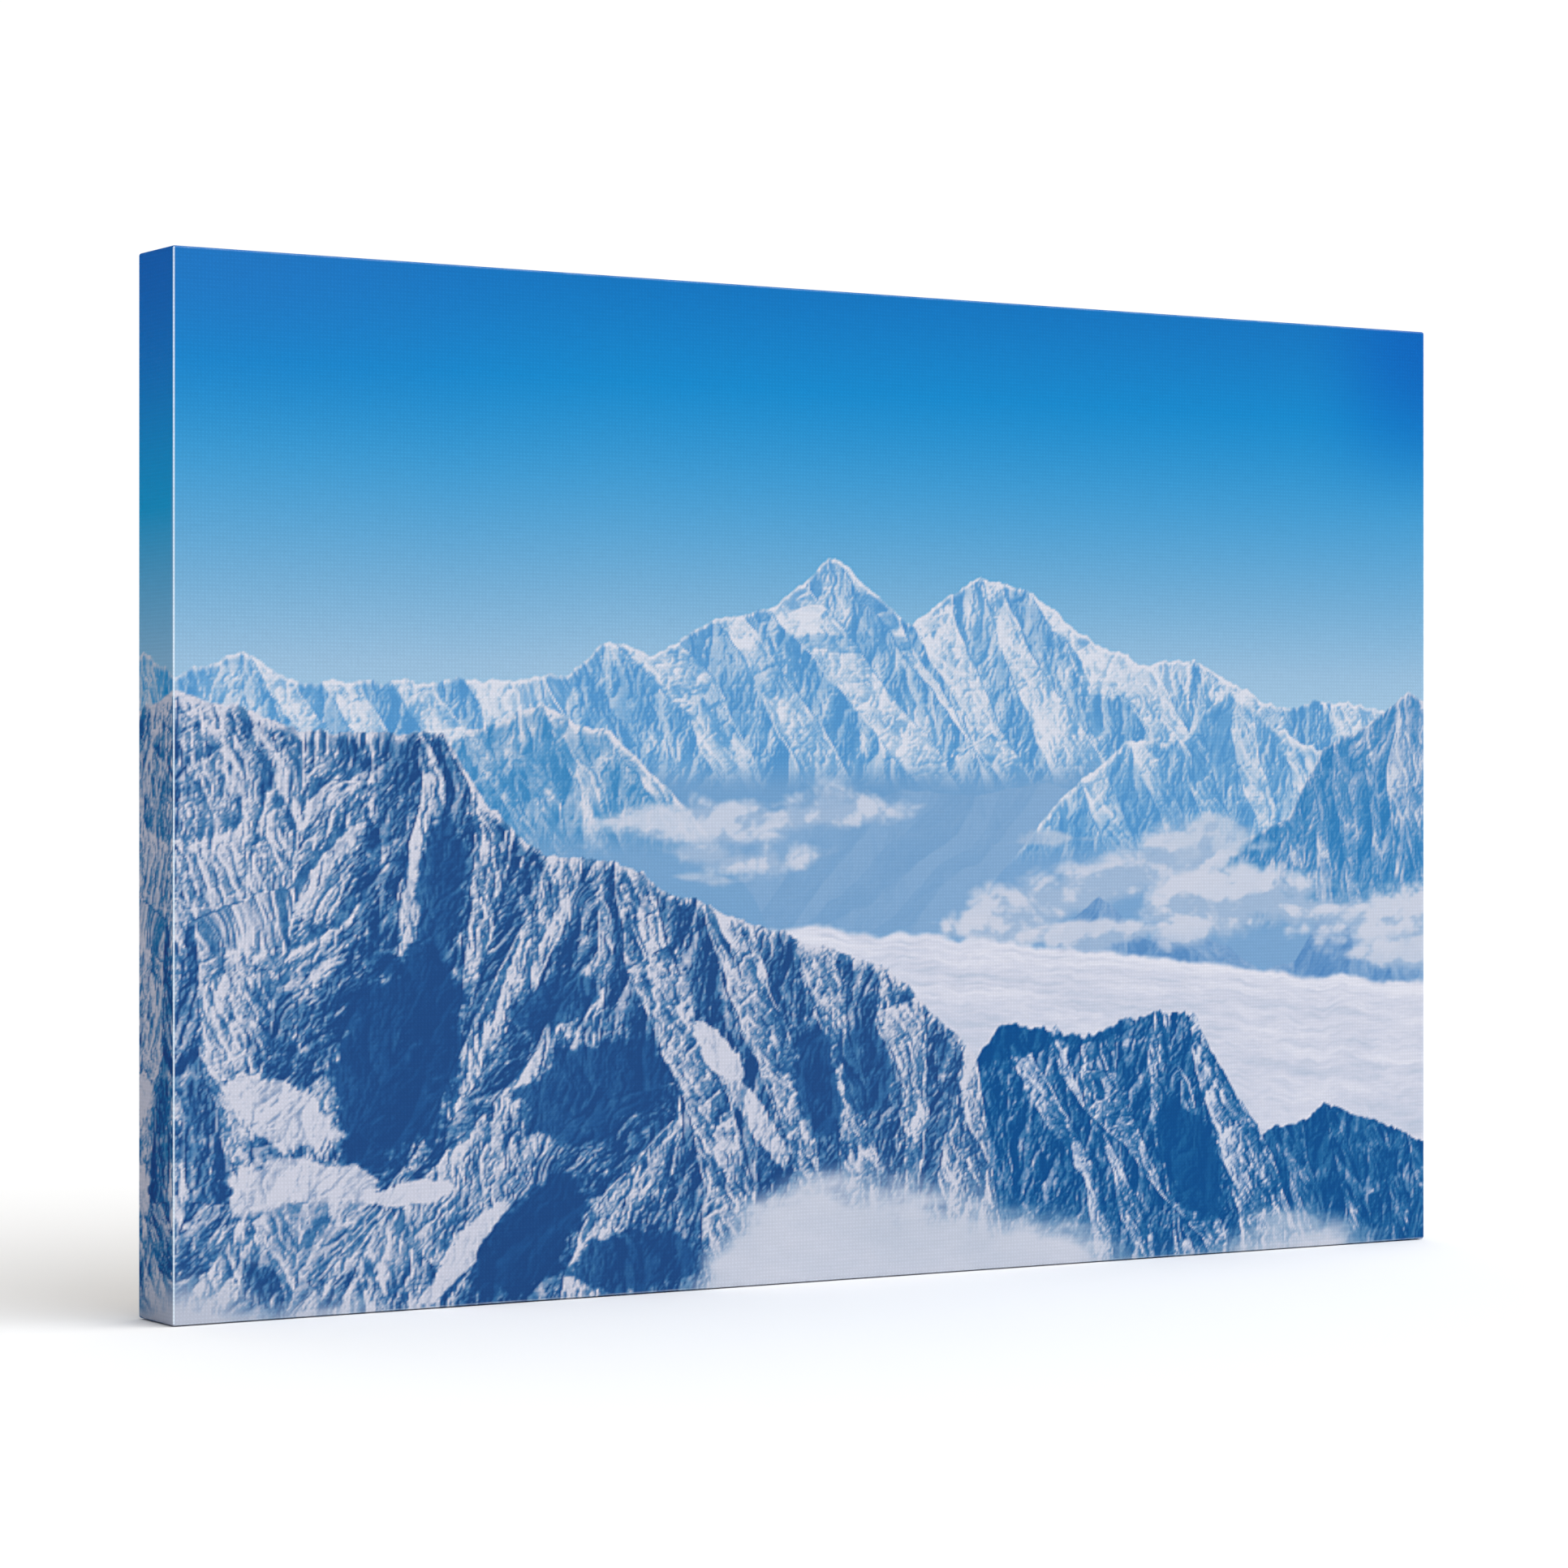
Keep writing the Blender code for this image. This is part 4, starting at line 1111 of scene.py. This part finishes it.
def wood(name, pale, dark, late, along, seed):
    """Sawn softwood or birch, grain along x (0) or z (2), with end grain on the faces across it."""
    n = Look(name, pale, 0.6, specular=0.35)
    squeeze = [1.0, 1.0, 1.0]
    squeeze[along] = 0.045
    # Each piece is cut from another place in the log.
    offset = n.node("ShaderNodeVectorMath", operation="ADD")
    n.link(n.node("ShaderNodeTexCoord").outputs["Object"], offset.inputs[0])
    offset.inputs[1].default_value = (seed * 0.37, seed * 0.11, seed * 0.23)
    source = offset.outputs[0]
    long_grain = n.place(tuple(squeeze), source=source)
    rings = n.noise(long_grain, 55, 2, 0.4, 0.35)
    bands = n.math("FRACT", n.math("MULTIPLY", rings, 9.0))
    black, faint, white = (0, 0, 0), (0.25, 0.25, 0.25), (1, 1, 1)
    latewood = n.ramp(bands, [(0.0, black), (0.62, faint), (0.86, white), (0.93, white), (1.0, black)])
    fibre = n.noise(long_grain, 1100, 3, 0.6)
    broad = n.noise(long_grain, 14, 3)
    base = n.mix(n.range(broad, (0.3, 0.7), (0.0, 1.0)), pale, dark)
    colour = n.mix(n.math("MULTIPLY", latewood, 0.55), base, late)
    colour = n.mix(n.range(fibre, (0.35, 0.75), (0.0, 0.28)), colour, late)
    normal = n.node("ShaderNodeTexCoord").outputs["Normal"]
    facing = n.math("ABSOLUTE", n.separate(normal)[along])
    end = n.range(facing, (0.85, 0.95), (0.0, 1.0))
    pores = n.noise(source, 1500, 2)
    end_colour = n.mix(n.range(pores, (0.4, 0.65), (0.0, 0.5)), tuple(np.asarray(dark) * 0.78), late)
    n.into(n.mix(end, colour, end_colour), "Base Color")
    n.into(n.range(fibre, (0.3, 0.7), (0.5, 0.72)), "Roughness")
    n.into(n.bump(n.weighed((fibre, 0.7), (bands, 0.3)), 0.35, 0.00015), "Normal")
    return n.material


def metal(name, colour, roughness, scratch):
    """Plated steel, a little blotched, with fine scratches."""
    n = Look(name, colour, roughness, 1.0)
    blotch = n.noise(n.place(), 160, 3)
    fine = n.noise(n.place((1, 1, 6)), 900, 3, 0.7)
    shade = n.range(blotch, (0.3, 0.7), (0.86, 1.0))
    n.into(n.mix(1.0, colour, n.grey(shade), "MULTIPLY"), "Base Color")
    n.into(n.range(fine, (0.3, 0.7), (roughness - 0.08, roughness + 0.14)), "Roughness")
    n.into(n.bump(fine, scratch, 0.00005), "Normal")
    return n.material


def rubber():
    """The bumpers' dark, slightly grainy rubber."""
    n = Look("black_rubber", linear((44, 44, 46)), 0.75, specular=0.35)
    grain = n.noise(n.place(), 900, 3, 0.7)
    n.into(n.ramp(grain, [(0.35, linear((30, 30, 32))), (0.7, linear((58, 58, 61)))]), "Base Color")
    n.into(n.bump(grain, 0.4, 0.0001), "Normal")
    return n.material


def dress(node, material):
    """Gives a CAD node this material."""
    obj = NODES[node]
    if not obj.data.materials:
        obj.data.materials.append(material)
    for slot in obj.material_slots:
        slot.link = "OBJECT"
        slot.material = material


# Early wood, its darker places, and late wood.
PINE = (linear((222, 190, 146)), linear((209, 172, 126)), linear((176, 130, 84)))
BIRCH = (linear((230, 208, 172)), linear((219, 193, 152)), linear((190, 156, 112)))
for number, (name, along) in enumerate((("top", 0), ("bottom", 0), ("left", 2), ("right", 2))):
    dress("stretcher_bar_" + name, wood("pine_" + name, *PINE, along, number + 1))
zinc = metal("zinc_steel", linear((176, 178, 180)), 0.34, 0.25)
nickel = metal("nickel_plate", linear((188, 184, 176)), 0.26, 0.2)
pads = rubber()
for node in NODES:
    if node.startswith("key_"):
        along = 2 if node.endswith("upright") else 0
        dress(node, wood(node.replace("key", "birch"), *BIRCH, along, len(node) * 1.7))
    elif node.startswith(("staple_", "hanger_ring")):
        dress(node, zinc)
    elif node.startswith(("hanger_strap", "hanger_screw")):
        dress(node, nickel)
    elif node.startswith("bumper"):
        dress(node, pads)

canvas = make_canvas()
canvas.data.materials.append(canvas_print())
canvas.data.materials.append(raw_cotton())
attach(canvas, "stretched_frame")
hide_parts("canvas")


# ---------------- stage, light and camera
# Half the floor's width, how far it lies below the canvas, and its white.
FLOOR_REACH, FLOOR_DROP, FLOOR_WHITE = 40.0, 0.0004, 0.91
BACKDROP = 1.04
# Direction, cosine inside which it is full, cosine where it ends, and what it adds to the backdrop: the key
# light from the front right, and the darker left.
WORLD = [((0.45, -0.68, 0.58), 0.95, 0.6, 1.9), ((-0.98, -0.20, 0.05), 0.4, -0.2, -0.6)]
# The camera stands this far left of the middle and before the front, and is turned this far to the right.
CAMERA_LEFT, CAMERA_BEFORE, CAMERA_ABOVE, CAMERA_TURN, LENS = 0.998, 1.541, 0.0006, 32.03, 102.3


def floor():
    """A white floor just below the canvas, wide enough to have no edge in view."""
    mesh = bpy.data.meshes.new("floor")
    corners = [(x * FLOOR_REACH, y * FLOOR_REACH, 0) for x, y in ((-1, -1), (1, -1), (1, 1), (-1, 1))]
    mesh.from_pydata(corners, [], [(0, 1, 2, 3)])
    obj = bpy.data.objects.new("floor", mesh)
    obj.location.z = -FLOOR_DROP
    bpy.context.scene.collection.objects.link(obj)
    mesh.materials.append(Look("floor_white", (FLOOR_WHITE,) * 3, 0.9, specular=0.0).material)


def light_from(sky, toward, direction, inner, outer):
    """1 inside a cone about this direction, falling to 0 at its outer edge; both are cosines."""
    dot = sky.node("ShaderNodeVectorMath", operation="DOT_PRODUCT")
    length = math.sqrt(sum(d * d for d in direction))
    dot.inputs[1].default_value = [d / length for d in direction]
    sky.link(toward, dot.inputs[0])
    return sky.range(dot.outputs["Value"], (outer, inner), (0, 1), interpolation_type="SMOOTHSTEP")


def studio():
    """A plain white backdrop, with the lobes of WORLD added to the light that it gives."""
    world = bpy.data.worlds.new("studio")
    world.use_nodes = True
    bpy.context.scene.world = world
    sky = Nodes(world.node_tree)
    toward = sky.node("ShaderNodeTexCoord").outputs["Generated"]
    light = BACKDROP
    for direction, inner, outer, gain in WORLD:
        light = sky.math("MULTIPLY_ADD", light_from(sky, toward, direction, inner, outer), gain, light)
    # What stands behind the object is plain white; the lobes only light it.
    seen = sky.node("ShaderNodeLightPath").outputs["Is Camera Ray"]
    strength = sky.math("MULTIPLY_ADD", seen, sky.math("SUBTRACT", BACKDROP, light), light)
    background = sky.tree.nodes["Background"]
    sky.link(strength, background.inputs["Strength"])
    background.inputs["Color"].default_value = (1, 1, 1, 1)


def photo_camera():
    """The camera that the front's corners and the side's depth give for the photo."""
    camera = bpy.data.objects.new("camera", bpy.data.cameras.new("camera"))
    bpy.context.scene.collection.objects.link(camera)
    bpy.context.scene.camera = camera
    camera.data.sensor_width = 36
    camera.data.lens = LENS
    camera.data.clip_start = 0.01
    camera.location = (-CAMERA_LEFT, FRONT - CAMERA_BEFORE, MIDDLE + CAMERA_ABOVE)
    camera.rotation_euler = (math.pi / 2, 0, -math.radians(CAMERA_TURN))


studio()
floor()
photo_camera()
bpy.context.scene.view_settings.view_transform = "Standard"
